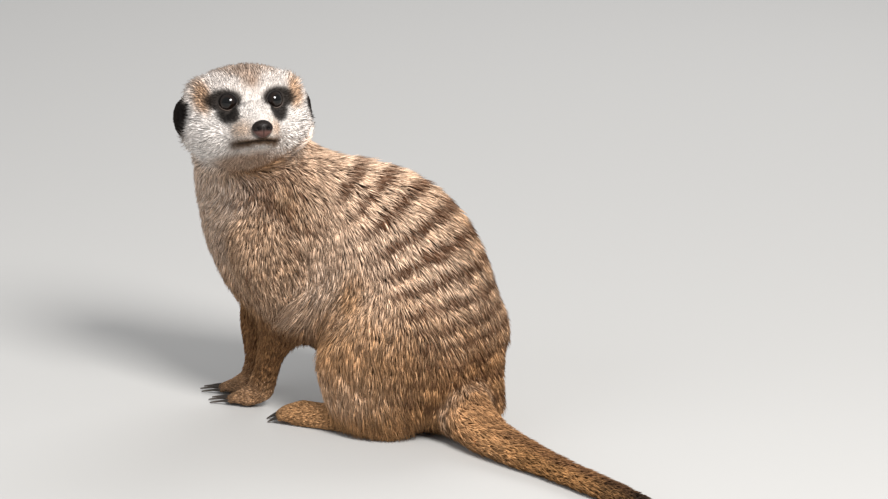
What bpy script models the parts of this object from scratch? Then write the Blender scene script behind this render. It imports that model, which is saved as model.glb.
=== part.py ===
"""Meerkat, life size: a still museum model that sits on its haunches and looks back over its left shoulder.

The flesh is lofted through named loops and fused into one body, then parted with thin cuts into the pieces
a person would name. Eyes, ears, nose and claws are pieces of their own, fitted to the body.

The loops give the outline to the tips of the coat. They are in millimetres, with the animal's body heading
to -X, its face to -Y and +Z up. It rests on flats at z = 0, and the origin ends up under its middle.
"""

import math

import bmesh
import bpy
import numpy as np
from mathutils import Matrix, Vector

MM = 0.001

# ---- driving dimensions ------------------------------------------------------------------------------

SAW = 0.5  # width of the cuts that part the body
WELD = 0.002  # vertices closer than this are one
FIT = 0.35  # gap between the body and each piece fitted to it
MOST_LOST, MOST_OVER = 0.02, 0.1  # shares of the body and of the piece that a cut's sums may be out by
GROWN = 2.4  # how far a limb's cut stands off the limb's own loops
VOXEL = 1.25  # grain of the fused body before it is thinned out
BODY_TRIANGLES = 2350
DISSOLVE = 6  # degrees within which faces of a piece are merged
FLOOR_TRIM = 0.8  # how deep the feet, rump and tail are trimmed flat

EYE_RADIUS = 4.9
SOCKET = 0.7  # gap round an eye, at the corners of its socket
EYE_APART = 20.2  # between the two eyes' centres
EYE_DEPTH = 5.6  # an eye's centre behind the point midway between the lids
NOSE_HALF = (4.9, 3.6, 4.1)  # half width, half depth and half height of the nose pad
NOSTRIL_HALF = (1.2, 1.6, 0.95)
EAR_HALF = (2.9, 6.6, 9.2)  # half thickness, half length and half height of an ear
EAR_HOLLOW_HALF = (2.2, 4.3, 6.4)
EAR_TURN = 24  # degrees that an ear faces forward from the side of the head
FORE_CLAW, HIND_CLAW = 9.5, 5.5  # claw lengths
FORE_TOE, HIND_TOE = (3.4, 2.2), (4.1, 3.0)  # spacing of the toes, and a toe's half width
FORE_REACH = (8.0, 10.5, 10.5, 8.0)  # how far each toe stands out
HIND_REACH = (8.5, 11.0, 11.0, 8.5)
TOE_FAN = 0.05

# The face: where the point midway between the eyes is, and how the head is turned.
FACE = Vector((-47.5, -28.0, 161.0))
FACE_YAW, FACE_PITCH, FACE_ROLL = math.radians(12.5), math.radians(13), math.radians(-3.5)

# How far the hind and the fore part of the body are turned from -X towards +Y.
PELVIS_HEADING, CHEST_HEADING = math.radians(21), math.radians(15)
PELVIS_MIDDLE = Vector((33, 0, 0))  # a point on the midline of the hind part
RIGHT_BEHIND = 5.0  # how far the right hind limb is set behind the left one

# ---- loops of the flesh --------------------------------------------------------------------------------

# Trunk and neck: back point, belly point, half width, from the root of the tail up to the skull.
TRUNK = [
    ((66, -25, 11), (54, -18, 1), 20),
    ((70, -19, 28), (43, -11, -2), 32),
    ((71.5, -13, 50), (25, -2, 1), 37),
    ((70, -8, 72), (6, 5, 14), 38),
    ((62, -3, 93), (-9, 10, 29), 36),
    ((49, 3, 111), (-26, 14, 37), 34),
    ((31, 8, 122.5), (-45, 17, 45), 32),
    ((10, 11, 128), (-60, 18, 60), 29),
    ((-8, 12, 129.5), (-69, 18, 78), 27),
    ((-18, 12, 132), (-74, 17, 97), 26),
    ((-27, 12, 139), (-77, 11, 115), 26),
    ((-34, 14, 150), (-77, 0, 132), 26),
]

# Tail: centre and radius of each loop, from the rump along the floor to the tip.
TAIL = [
    ((53, -12, 20), 14.5),
    ((61, -28, 14), 12.6),
    ((70.5, -43, 10.2), 10.8),
    ((83, -57, 8.0), 8.8),
    ((97, -71, 6.8), 7.5),
    ((114, -90, 6.0), 6.7),
    ((132, -110, 5.6), 6.2),
    ((147, -133, 5.1), 5.7),
    ((157, -158, 4.5), 5.1),
    ((162, -180, 3.6), 4.2),
]

# Limbs: centre of each loop, half width across the limb, half depth along the body.
THIGH = [
    ((51, -23, 34), 10, 16),
    ((40, -27, 40), 15, 28),
    ((21, -26, 42), 17, 32),
    ((4, -21, 35), 15, 22),
    ((-5, -18, 30), 10.5, 13),
]
SHANK = [
    ((-4, -19, 33), 11, 11),
    ((3, -21, 23), 12, 13),
    ((13, -24, 14), 11.5, 12),
    ((24, -26, 9), 9, 9.5),
]
HIND_FOOT = [
    ((27, -26, 8), 5.8, 7.5),
    ((20, -24.5, 7.4), 6.6, 7.6),
    ((4, -18.5, 6.5), 7.0, 6.9),
    ((-10, -13.4, 6.2), 8.0, 6.8),
    ((-20.0, -9.4, 6.0), 8.8, 6.6),
]
UPPER_ARM_LEFT = [
    ((-46, -2, 94), 11, 15),
    ((-38, -8, 80), 13, 19),
    ((-28, -8, 60), 12, 16),
    ((-27, -4, 48), 9.5, 13),
]
FOREARM_LEFT = [
    ((-28, -4, 50), 8.5, 12),
    ((-33, 1, 40), 8, 9.5),
    ((-36.5, 6.5, 28), 7, 8.3),
    ((-38.5, 11, 18), 6.2, 7.2),
    ((-40, 13, 10), 6, 6.2),
]
FOREPAW_LEFT = [
    ((-38.5, 13, 10.5), 6, 6.2),
    ((-43, 14.3, 7.2), 6.8, 6.0),
    ((-47.5, 15.6, 5.0), 6.9, 4.9),
]
UPPER_ARM_RIGHT = [
    ((-50, 36, 94), 11, 15),
    ((-46, 40, 80), 13, 19),
    ((-43, 37, 60), 11, 14),
    ((-42, 31, 48), 9, 11),
]
FOREARM_RIGHT = [
    ((-42, 31, 50), 8.5, 11),
    ((-45.5, 30, 40), 7.8, 9),
    ((-44.5, 29.5, 28), 6.8, 7.4),
    ((-43.5, 29.3, 18), 6, 6.5),
    ((-45, 30, 10), 5.8, 6),
]
FOREPAW_RIGHT = [
    ((-43.5, 30, 10.5), 5.8, 6),
    ((-48, 31.5, 7.2), 6.6, 6.0),
    ((-52.5, 32.8, 5.0), 6.8, 4.9),
]

# Feet: where the toes spring from and where they point, over the floor.
FORE_FEET = {"left": ((-46.0, 15.0, 4.5), (-0.94, 0.34)), "right": ((-51.2, 32.4, 4.5), (-0.94, 0.34))}
HIND_FEET = {"left": ((-19.5, -9.6, 6.0), (-0.93, 0.36))}

# Head, in its own axes from between the eyes. Muzzle: how far forward, half width, top, bottom.
MUZZLE = [
    (-16, 23.0, 15.0, -25.0),
    (-8, 20.5, 11.5, -25.5),
    (-1, 16.0, 6.6, -25.0),
    (5, 12.4, 1.6, -24.2),
    (10.5, 10.2, -3.0, -23.4),
    (16, 8.6, -6.2, -22.4),
    (19.5, 7.0, -7.8, -21.0),
    (21.4, 5.0, -9.2, -19.2),
]
# Rounded forms of the head: centre and half axes as (left, forward, up). The first three are on its midline.
CRANIUM = ((0, -23, 0.0), (29.0, 26.0, 19.5))
OCCIPUT = ((0, -33, -3.0), (30.0, 19.0, 20.0))
THROAT = ((0, -17, -23), (18.0, 15.0, 10.0))
SIDE_FORMS = {
    "temple": ((16.0, -21, 2.0), (14.0, 16.0, 14.0)),
    "cheek": ((14.5, -17, -12.0), (17.5, 18.0, 15.5)),
    "brow": ((11.0, -9.5, 5.0), (9.5, 7.0, 6.5)),
    "cheekbone": ((16.5, -10.5, -7.0), (9.0, 8.5, 8.0)),
    "whisker pad": ((4.4, 14.0, -15.5), (5.2, 7.5, 5.5)),
}
EAR_CENTRE = (30.0, -27.5, -6.5)
NOSE_CENTRE = (0, 22.9, -12.6)
NOSTRIL_CENTRE = (2.5, 26.3, -12.4)
EYE_HOLLOW = ((EYE_APART / 2 - 0.5, 2.0, -0.5), 10.0, 3.6)  # place, reach and depth of the hollow round an eye

# Where the head and the neck are parted off: a point, the way beyond it, and a side of the cut.
HEAD_CUT = ((-51, 9, 136), (-0.38, -0.34, 0.86), (0.3, -0.95, 0))
NECK_CUT = ((-35, 14, 103), (-0.66, 0.14, 0.74), (0.26, 0.96, 0))
TAIL_CUTS = (("tail_tip", 7), ("tail_end", 5), ("tail_middle", 3))  # and the loop each length starts at
TAIL_LEFT = (-0.6, -0.8, 0)

# ---- placing and measuring -----------------------------------------------------------------------------


def heading(angle):
    """The forward and the left side of a body turned this far from -X towards +Y."""
    forward = Vector((-math.cos(angle), math.sin(angle), 0))
    return forward, Vector((-forward.y, forward.x, 0))


def head_matrix():
    """From the head's axes (left, forward, up) to the model's, in millimetres."""
    looks_ahead = Matrix(((1, 0, 0), (0, -1, 0), (0, 0, 1))).to_4x4()  # the face looks to -Y at first
    turned = Matrix.Rotation(FACE_YAW, 4, "Z") @ Matrix.Rotation(-FACE_PITCH, 4, "X")
    return Matrix.Translation(FACE) @ turned @ Matrix.Rotation(FACE_ROLL, 4, "Y") @ looks_ahead


HEAD = head_matrix()
PELVIS_AHEAD, PELVIS_LEFT = heading(PELVIS_HEADING)
CHEST_LEFT = heading(CHEST_HEADING)[1]


def both_sides(point):
    """A point of the head's left half, and its twin on the right."""
    return ("left", point), ("right", (-point[0], *point[1:]))


def across_pelvis(stations):
    """The loops of a left hind limb carried over to the right side."""
    carried = []
    for centre, wide, deep in stations:
        place = Vector(centre)
        place -= PELVIS_LEFT * 2 * ((place - PELVIS_MIDDLE) @ PELVIS_LEFT) + PELVIS_AHEAD * RIGHT_BEHIND
        carried.append((place, wide, deep))
    return carried


def grown(stations, more=GROWN):
    """A limb's loops made larger all round."""
    return [(centre, wide + more, deep + more) for centre, wide, deep in stations]


# ---- shaping tools -------------------------------------------------------------------------------------


def as_object(name, shape, collection=None):
    """The bmesh as an object, with its faces pointing out."""
    shape.normal_update()
    bmesh.ops.recalc_face_normals(shape, faces=shape.faces)
    mesh = bpy.data.meshes.new(name)
    shape.to_mesh(mesh)
    shape.free()
    made = bpy.data.objects.new(name, mesh)
    (collection or FORMS).objects.link(made)
    return made


def smooth_through(stations, steps):
    """Catmull-Rom values through the stations, with so many steps from each to the next."""
    rows = np.array(stations, float)
    rows = np.vstack([2 * rows[0] - rows[1], rows, 2 * rows[-1] - rows[-2]])
    found = []
    for before, start, end, after in zip(rows, rows[1:], rows[2:], rows[3:]):
        for t in np.arange(steps) / steps:
            slope, bend = end - before, 2 * before - 5 * start + 4 * end - after
            found.append(start + 0.5 * (slope * t + bend * t**2 + (3 * (start - end) + after - before) * t**3))
    return np.array(found + [rows[-2]])


def dome(centre, way, across, along, steps, reach=0.8):
    """Loops that close off a tube beyond its last loop, from the widest to the smallest."""
    size = min(np.linalg.norm(across), np.linalg.norm(along))
    for k in range(1, steps + 1):
        turn = k / (steps + 0.35) * math.pi / 2
        yield centre + way * size * reach * math.sin(turn), across * math.cos(turn), along * math.cos(turn)


def tube(name, centres, across, along, sides=28, dome_steps=4):
    """A closed mesh through elliptical loops, given by their centres and half axes, with domed ends."""
    loops = list(zip(centres, across, along))
    ways = [centres[0] - centres[1], centres[-1] - centres[-2]]
    start, end = (way / np.linalg.norm(way) for way in ways)
    loops = list(dome(centres[0], start, across[0], along[0], dome_steps))[::-1] + loops
    loops += list(dome(centres[-1], end, across[-1], along[-1], dome_steps))
    shape = bmesh.new()
    turns = [2 * math.pi * i / sides for i in range(sides)]
    rings = [
        [shape.verts.new((centre + a * math.cos(t) + b * math.sin(t)) * MM) for t in turns]
        for centre, a, b in loops
    ]
    for low, high in zip(rings, rings[1:]):
        for i in range(sides):
            j = (i + 1) % sides
            shape.faces.new((low[i], low[j], high[j], high[i]))
    shape.faces.new(rings[0][::-1])
    shape.faces.new(rings[-1])
    return as_object(name, shape)


def between_contours(name, stations, steps=5):
    """A loft whose loops span from one contour, the back, to another, the belly."""
    rows = smooth_through([(*back, *belly, width) for back, belly, width in stations], steps)
    back, belly, width = rows[:, :3], rows[:, 3:6], rows[:, 6:]
    centres, along = (back + belly) / 2, (back - belly) / 2
    across = np.cross(along, np.gradient(centres, axis=0))
    across *= width / np.linalg.norm(across, axis=1, keepdims=True)
    return tube(name, centres, across, along)


def along_path(name, stations, left, steps=5, **loops):
    """A loft along a limb: half widths towards the given left side, half depths across both."""
    rows = smooth_through([(*centre, wide, deep) for centre, wide, deep in stations], steps)
    centres, left = rows[:, :3], np.array(left)
    way = np.gradient(centres, axis=0)
    way /= np.linalg.norm(way, axis=1, keepdims=True)
    across = left - way * (way @ left)[:, None]
    across /= np.linalg.norm(across, axis=1, keepdims=True)
    return tube(name, centres, across * rows[:, 3:4], np.cross(way, across) * rows[:, 4:5], **loops)


def rounded(name, centre, half_axes, axes=Matrix.Identity(4), turn=0, detail=3):
    """An ellipsoid in the given axes, turned about its own upright by so many degrees."""
    shape = bmesh.new()
    bmesh.ops.create_icosphere(shape, subdivisions=detail, radius=1)
    place = Matrix.Translation(Vector(centre)) @ Matrix.Rotation(math.radians(turn), 4, "Z")
    shape.transform(Matrix.Scale(MM, 4) @ axes @ place @ Matrix.Diagonal((*half_axes, 1)))
    return as_object(name, shape)


def beyond(name, point, way, side, size=(130, 130, 130)):
    """A block whose near face lies at a point and looks against the way, to take off all beyond it."""
    way = Vector(way).normalized()
    side = (Vector(side) - way * way.dot(Vector(side))).normalized()
    axes = Matrix((side, way.cross(side), way)).transposed().to_4x4()
    shape = bmesh.new()
    bmesh.ops.create_cube(shape, size=1)
    place = Matrix.Translation(Vector(point) + way * size[2] / 2)
    shape.transform(Matrix.Scale(MM, 4) @ place @ axes @ Matrix.Diagonal((*size, 1)))
    return as_object(name, shape)


def evaluated(made, name):
    """A plain mesh object with the modifiers of another applied, in its place."""
    bpy.context.view_layer.update()
    graph = bpy.context.evaluated_depsgraph_get()
    new = bpy.data.objects.new(name, bpy.data.meshes.new_from_object(made.evaluated_get(graph)))
    FORMS.objects.link(new)
    bpy.data.objects.remove(made)
    return new


def twin(made, name):
    """A copy of an object with a mesh of its own."""
    new = bpy.data.objects.new(name, made.data.copy())
    FORMS.objects.link(new)
    return new


def boolean(made, other, operation):
    """The object cut with another by an exact Boolean, under its own name."""
    name = made.name
    made.name = f"{name} before"
    modifier = made.modifiers.new("Cut", "BOOLEAN")
    modifier.operation, modifier.object, modifier.solver = operation, other, "EXACT"
    return evaluated(made, name)


def joined(name, pieces):
    """One object with all their meshes, overlapping as they are."""
    shape = bmesh.new()
    for piece in pieces:
        shape.from_mesh(piece.data)
        bpy.data.objects.remove(piece)
    return as_object(name, shape)


def inflated(made, by):
    """A copy moved out along its normals."""
    copy = twin(made, f"{made.name} inflated")
    push = copy.modifiers.new("Inflate", "DISPLACE")
    push.mid_level, push.strength = 0, by * MM
    return evaluated(copy, f"{made.name} inflated")


# ---- head, feet and claws ------------------------------------------------------------------------------


def head_forms():
    """Muzzle, skull, temples, brows, cheeks and whisker pads, overlapping."""
    turn = HEAD.to_3x3()
    rows = smooth_through(MUZZLE, 4)
    centres = [HEAD @ Vector((0, forward, (top + bottom) / 2)) for forward, _, top, bottom in rows]
    across = [turn @ Vector((half, 0, 0)) for _, half, _, _ in rows]
    along = [turn @ Vector((0, 0, (top - bottom) / 2)) for _, _, top, bottom in rows]
    forms = [tube("muzzle form", np.array(centres), np.array(across), np.array(along))]
    for name, form in (("cranium", CRANIUM), ("occiput", OCCIPUT), ("throat", THROAT)):
        forms.append(rounded(f"{name} form", *form, HEAD))
    for name, (centre, half_axes) in SIDE_FORMS.items():
        for side, place in both_sides(centre):
            forms.append(rounded(f"{name} form {side}", place, half_axes, HEAD))
    return forms


def feet():
    """Every foot: its name, where its toes spring from, where they point, their reach, size and claws."""
    for side, (root, way) in FORE_FEET.items():
        yield f"fore_{side}", Vector(root), Vector((*way, 0)), FORE_REACH, *FORE_TOE, FORE_CLAW
    root, way = HIND_FEET["left"]
    yield "hind_left", Vector(root), Vector((*way, 0)), HIND_REACH, *HIND_TOE, HIND_CLAW
    (root, _, _), (tip, _, _) = across_pelvis([(root, 0, 0), (Vector(root) + Vector((*way, 0)), 0, 0)])
    yield "hind_right", root, tip - root, HIND_REACH, *HIND_TOE, HIND_CLAW


def toes():
    """Every toe: its name, its root, knuckle and tip, the way it points, its half width and its claw."""
    for foot, root, way, reaches, spacing, half, claw_length in feet():
        way = way.normalized()
        side = Vector((-way.y, way.x, 0))
        for number, reach in enumerate(reaches, 1):
            offset = number - (len(reaches) + 1) / 2
            points = (way + side * offset * TOE_FAN).normalized()
            start = root + side * offset * spacing
            knuckle = start + points * reach * 0.5 + Vector((0, 0, half * 0.25))
            tip = start + points * reach
            tip.z = half + FLOOR_TRIM * 0.9
            yield f"{foot}_{number}", start, knuckle, tip, points, half, claw_length


def toe_form(name, start, knuckle, tip, points, half):
    stations = [
        (start - points * 3, half * 0.95, half * 1.1),
        (knuckle, half * 0.92, half * 1.05),
        (tip, half * 0.78, half * 0.88),
    ]
    side = Vector((-points.y, points.x, 0))
    return along_path(f"toe form {name}", stations, side, steps=3, sides=16)


def claw(name, tip, points, half, length):
    """A tapering claw that springs from a toe's tip and curves down to the floor."""
    start = tip + Vector((0, 0, half * 0.15 - FLOOR_TRIM))
    end_height = 0.55
    stations = []
    for t in (0, 0.5, 1):
        height = start.z + (end_height - start.z) * t**1.7
        size = max(half * 0.5 * (1 - t) ** 0.65, 0.42)
        place = start + points * length * t
        stations.append(((place.x, place.y, height), size * 0.8, size))
    side = Vector((-points.y, points.x, 0))
    return along_path(f"claw_{name}", stations, side, steps=1, sides=5, dome_steps=1)


# ---- the body ------------------------------------------------------------------------------------------


def limbs():
    """Every limb's loops, by the name of its piece, with the body's left side there."""
    hind = {"thigh": THIGH, "shank": SHANK, "hindfoot": HIND_FOOT}
    for name, stations in hind.items():
        yield f"{name}_left", stations, PELVIS_LEFT
        yield f"{name}_right", across_pelvis(stations), PELVIS_LEFT
    fore = {
        "upper_arm_left": UPPER_ARM_LEFT,
        "forearm_left": FOREARM_LEFT,
        "forepaw_left": FOREPAW_LEFT,
        "upper_arm_right": UPPER_ARM_RIGHT,
        "forearm_right": FOREARM_RIGHT,
        "forepaw_right": FOREPAW_RIGHT,
    }
    for name, stations in fore.items():
        yield name, stations, CHEST_LEFT


def flesh_forms():
    """Every overlapping form of the flesh."""
    forms = [between_contours("trunk form", TRUNK)]
    forms.append(along_path("tail form", [(c, r, r) for c, r in TAIL], TAIL_LEFT))
    forms += [along_path(f"{name} form", stations, left) for name, stations, left in limbs()]
    forms += [toe_form(*toe[:6]) for toe in toes()]
    return forms + head_forms()


def places_of(mesh):
    places = np.empty(len(mesh.vertices) * 3)
    mesh.vertices.foreach_get("co", places)
    return places.reshape(-1, 3) / MM


def press(mesh, strengths, way):
    """Moves the vertices by their strengths along a way."""
    places = places_of(mesh) + strengths[:, None] * np.array(way)
    mesh.vertices.foreach_set("co", (places * MM).ravel())
    mesh.update()


def near(places, point, reach):
    """1 at a point, fading to nothing beyond its reach."""
    return np.exp(-2 * (np.linalg.norm(places - np.array(point), axis=1) / reach) ** 2)


def soften(body):
    """Evens out the seams between the forms: little at the face and the feet, more on the trunk."""
    places = places_of(body.data)
    face = near(places, HEAD @ Vector((0, 2, -6)), 46)
    low = np.clip((26 - places[:, 2]) / 12, 0, 1)
    soft = np.clip(1 - 0.85 * face - low, 0, 1)
    group = body.vertex_groups.new(name="Soft")
    for index in np.flatnonzero(soft > 0.02):
        group.add([int(index)], float(soft[index]), "REPLACE")
    even = body.modifiers.new("Even", "SMOOTH")
    even.factor, even.iterations = 0.5, 5
    soft_even = body.modifiers.new("Even trunk", "SMOOTH")
    soft_even.factor, soft_even.iterations, soft_even.vertex_group = 0.5, 40, "Soft"
    return evaluated(body, "body")


def carve_face(body):
    """Presses in the hollows round the eyes."""
    into_head = HEAD.to_3x3() @ Vector((0, -1, 0))
    hollow, reach, depth = EYE_HOLLOW
    for _, place in both_sides(hollow):
        press(body.data, near(places_of(body.data), HEAD @ Vector(place), reach) * depth, into_head)


def trimmed_flat(body):
    """The body cut off just above z = 0 and set down again, so that it rests on small flats."""
    shape = bmesh.new()
    shape.from_mesh(body.data)
    geometry = shape.verts[:] + shape.edges[:] + shape.faces[:]
    floor = (0, 0, FLOOR_TRIM * MM)
    bmesh.ops.bisect_plane(shape, geom=geometry, plane_co=floor, plane_no=(0, 0, 1), clear_inner=True)
    bmesh.ops.holes_fill(shape, edges=[edge for edge in shape.edges if edge.is_boundary])
    shape.transform(Matrix.Translation((0, 0, -FLOOR_TRIM * MM)))
    bmesh.ops.triangulate(shape, faces=shape.faces)
    bpy.data.objects.remove(body)
    return as_object("body", shape)


def fused_body():
    """The forms fused, evened out, carved, thinned out and trimmed flat where it rests."""
    body = joined("body", flesh_forms())
    fuse = body.modifiers.new("Fuse", "REMESH")
    fuse.mode, fuse.voxel_size = "VOXEL", VOXEL * MM
    body = soften(evaluated(body, "body"))
    carve_face(body)
    thin = body.modifiers.new("Thin out", "DECIMATE")
    thin.ratio = BODY_TRIANGLES / (2 * len(body.data.polygons))
    return trimmed_flat(evaluated(body, "body"))


# ---- parting the body ----------------------------------------------------------------------------------


def largest_island(made):
    """Only the largest loose piece of an object, in its place."""
    shape = bmesh.new()
    shape.from_mesh(made.data)
    left, islands = set(shape.verts), []
    while left:
        island, edge = set(), [next(iter(left))]
        while edge:
            vertex = edge.pop()
            if vertex not in island:
                island.add(vertex)
                edge += [e.other_vert(vertex) for e in vertex.link_edges]
        islands.append(island)
        left -= island
    islands.sort(key=len, reverse=True)
    dropped = [vertex for island in islands[1:] for vertex in island]
    bmesh.ops.delete(shape, geom=dropped, context="VERTS")
    name = made.name
    bpy.data.objects.remove(made)
    return as_object(name, shape)


def volume(made):
    """The volume inside a mesh, in cubic millimetres, or nothing if it isn't one closed surface."""
    shape = bmesh.new()
    shape.from_mesh(made.data)
    bmesh.ops.remove_doubles(shape, verts=shape.verts, dist=WELD * MM)
    closed = all(edge.is_manifold for edge in shape.edges)
    found = shape.calc_volume() / MM**3 if closed else 0
    shape.free()
    return found


def part_off(rest, name, cutters):
    """Takes the part of the body inside a cutter off as a piece, and leaves a gap as wide as the saw.

    cutters(more) gives the two solids, grown by a little more. An exact cut that meets an edge of the body
    just so can lose the body, so the volumes must add up, or it is done again with the cutter a hair wider.
    """
    whole = volume(rest)
    for more in (0, 0.07, 0.13, 0.21, 0.3):
        inner, outer = cutters(more)
        piece = largest_island(boolean(twin(rest, name), inner, "INTERSECT"))
        left = largest_island(boolean(twin(rest, "body"), outer, "DIFFERENCE"))
        taken = volume(piece)
        lost = whole - taken - volume(left)
        if taken > 0 and volume(left) > 0 and -MOST_OVER * taken < lost < MOST_LOST * whole:
            bpy.data.objects.remove(rest)
            return left, piece
    raise RuntimeError(f"{name} could not be parted off")


def limb_cutters(name, stations, left):
    """The two solids that part off a limb: one round the piece, and one wider by the saw."""

    def cutters(more):
        for label, width in (("cut", 0), ("wide cut", SAW)):
            loops = grown(stations, GROWN + more + width)
            yield along_path(f"{label} {name}", loops, left, steps=1, sides=9, dome_steps=2)

    return cutters


def plane_cutters(name, point, way, side, size=(130, 130, 130)):
    """The two blocks that part off all beyond a plane."""
    way = Vector(way).normalized()

    def cutters(more):
        for label, back in (("cut", SAW), ("wide cut", 0)):
            yield beyond(f"{label} {name}", Vector(point) + way * (back - more), way, side, size)

    return cutters


def thinned(piece):
    """The piece without the vertices that hardly bend its surface, as far as it stays closed."""
    name = piece.name
    for angle in (DISSOLVE, DISSOLVE * 0.7, DISSOLVE * 0.4, DISSOLVE * 0.1):
        trial = twin(piece, f"{name} trial")
        thin = trial.modifiers.new("Thin", "DECIMATE")
        thin.decimate_type, thin.angle_limit = "DISSOLVE", math.radians(angle)
        whole = trial.modifiers.new("Triangles", "TRIANGULATE")
        whole.quad_method = whole.ngon_method = "BEAUTY"
        trial = evaluated(trial, f"{name} thin")
        if volume(trial) > 0:
            bpy.data.objects.remove(piece)
            trial.name = name
            return trial
        bpy.data.objects.remove(trial)
    return piece


def limb_order():
    """The limbs from their ends inwards, so that each cut leaves whole what was parted before."""
    order = ("forepaw", "hindfoot", "forearm", "shank", "upper_arm", "thigh")
    return sorted(limbs(), key=lambda limb: order.index(limb[0].rsplit("_", 1)[0]))


def toes_covered(stations, reach=17.0, wide=8.2, deep=7.0):
    """A foot's loops carried on past the tips of its toes."""
    (before, _, _), (last, _, _) = stations[-2:]
    way = (Vector(last) - Vector(before)).normalized()
    past = Vector(last) + Vector((way.x, way.y, 0)) * reach
    return list(stations) + [(past, wide, deep)]


def parted(body):
    """The body as a dictionary of its pieces."""
    pieces, rest = {}, body
    for name, stations, left in limb_order():
        kind = name.rsplit("_", 1)[0]
        covered = toes_covered(stations) if kind in ("forepaw", "hindfoot") else stations
        covered = covered[1:] if kind == "thigh" else covered  # its rear end blends into the rump
        rest, pieces[name] = part_off(rest, name, limb_cutters(name, covered, left))
    tail = [(centre, radius, radius) for centre, radius in TAIL]
    for name, start in TAIL_CUTS:
        centre, way = Vector(TAIL[start][0]), Vector(TAIL[start][0]) - Vector(TAIL[start - 1][0])
        cutters = plane_cutters(name, centre, way, TAIL_LEFT, (40, 40, 140))
        rest, pieces[name] = part_off(rest, name, cutters)
    rest, pieces["tail_root"] = part_off(rest, "tail_root", limb_cutters("tail_root", tail[1:], TAIL_LEFT))
    rest, pieces["head"] = part_off(rest, "head", plane_cutters("head", *HEAD_CUT))
    rest, pieces["neck"] = part_off(rest, "neck", plane_cutters("neck", *NECK_CUT))
    rest.name = "trunk"
    pieces["trunk"] = rest
    return {name: thinned(piece) for name, piece in pieces.items()}


# ---- pieces fitted to the body -------------------------------------------------------------------------


def fitted_pieces(body, head):
    """Eyes, nose, ears and claws, with the head hollowed where the eyes and the nose are set in."""
    pieces = {}
    for side, place in both_sides((EYE_APART / 2, -EYE_DEPTH, 0)):
        socket = rounded(f"socket {side}", place, [EYE_RADIUS + SOCKET] * 3, HEAD, detail=2)
        head = boolean(head, socket, "DIFFERENCE")
        pieces[f"eye_{side}"] = rounded(f"eye_{side}", place, [EYE_RADIUS] * 3, HEAD)
    head = boolean(head, rounded("nose socket", NOSE_CENTRE, [h + FIT for h in NOSE_HALF], HEAD), "DIFFERENCE")
    nose = rounded("nose", NOSE_CENTRE, NOSE_HALF, HEAD)
    for side, place in both_sides(NOSTRIL_CENTRE):
        turn = -35 if side == "left" else 35
        nostril = rounded(f"nostril {side}", place, NOSTRIL_HALF, HEAD, turn, detail=1)
        nose = boolean(nose, nostril, "DIFFERENCE")
    pieces["nose"] = thinned(nose)
    skin = inflated(body, FIT)
    for side, place in both_sides(EAR_CENTRE):
        out = 1 if side == "left" else -1
        ear = rounded(f"ear_{side}", place, EAR_HALF, HEAD, out * EAR_TURN)
        turn = math.radians(EAR_TURN)
        mouth = Vector(place) + Vector((out * math.cos(turn), math.sin(turn), 0)) * EAR_HALF[0]
        hollow = rounded(f"ear hollow {side}", mouth, EAR_HOLLOW_HALF, HEAD, out * EAR_TURN, detail=2)
        ear = boolean(ear, hollow, "DIFFERENCE")
        pieces[f"ear_{side}"] = thinned(largest_island(boolean(ear, skin, "DIFFERENCE")))
    for name, _, _, tip, points, half, length in toes():
        whole = claw(name, tip, points, half, length)
        pieces[f"claw_{name}"] = largest_island(boolean(whole, skin, "DIFFERENCE"))
    return pieces, head


# ---- model ---------------------------------------------------------------------------------------------

COLOURS = {
    "head": (0.62, 0.54, 0.45),
    "neck": (0.52, 0.44, 0.34),
    "trunk": (0.36, 0.28, 0.20),
    "tail_root": (0.42, 0.25, 0.12),
    "tail_middle": (0.38, 0.21, 0.10),
    "tail_end": (0.22, 0.13, 0.08),
    "tail_tip": (0.05, 0.035, 0.03),
    "upper_arm": (0.38, 0.30, 0.20),
    "forearm": (0.40, 0.29, 0.17),
    "forepaw": (0.40, 0.29, 0.18),
    "thigh": (0.42, 0.31, 0.20),
    "shank": (0.44, 0.29, 0.16),
    "hindfoot": (0.46, 0.28, 0.15),
    "ear": (0.02, 0.016, 0.014),
    "eye": (0.012, 0.008, 0.006),
    "nose": (0.05, 0.03, 0.03),
    "claw": (0.06, 0.05, 0.045),
}
EYE_ROUGHNESS, NOSE_ROUGHNESS, CLAW_ROUGHNESS, FUR_ROUGHNESS = 0.05, 0.35, 0.4, 0.85


def colour_of(name):
    """The colour of a piece: its own, or that of its kind."""
    return next(colour for kind, colour in COLOURS.items() if name == kind or name.startswith(f"{kind}_"))


def finish(piece):
    """Gives a piece its own material."""
    material = bpy.data.materials.new(piece.name)
    material.use_nodes = True
    shader = material.node_tree.nodes["Principled BSDF"]
    colour = (*colour_of(piece.name), 1)
    roughness = {"eye": EYE_ROUGHNESS, "nose": NOSE_ROUGHNESS, "claw": CLAW_ROUGHNESS}
    shader.inputs["Base Color"].default_value = colour
    shader.inputs["Roughness"].default_value = roughness.get(piece.name.split("_")[0], FUR_ROUGHNESS)
    material.diffuse_color = colour
    piece.data.materials.clear()
    piece.data.materials.append(material)
    piece.data.name = piece.name


def set_origin(pieces):
    """Moves every mesh so that the model's origin lies under the middle of its box, on the floor."""
    corners = np.concatenate([places_of(piece.data) for piece in pieces])
    low, high = corners.min(axis=0), corners.max(axis=0)
    shift = Vector((-(low[0] + high[0]) / 2, -(low[1] + high[1]) / 2, -low[2])) * MM
    for piece in pieces:
        piece.data.transform(Matrix.Translation(shift))


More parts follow.
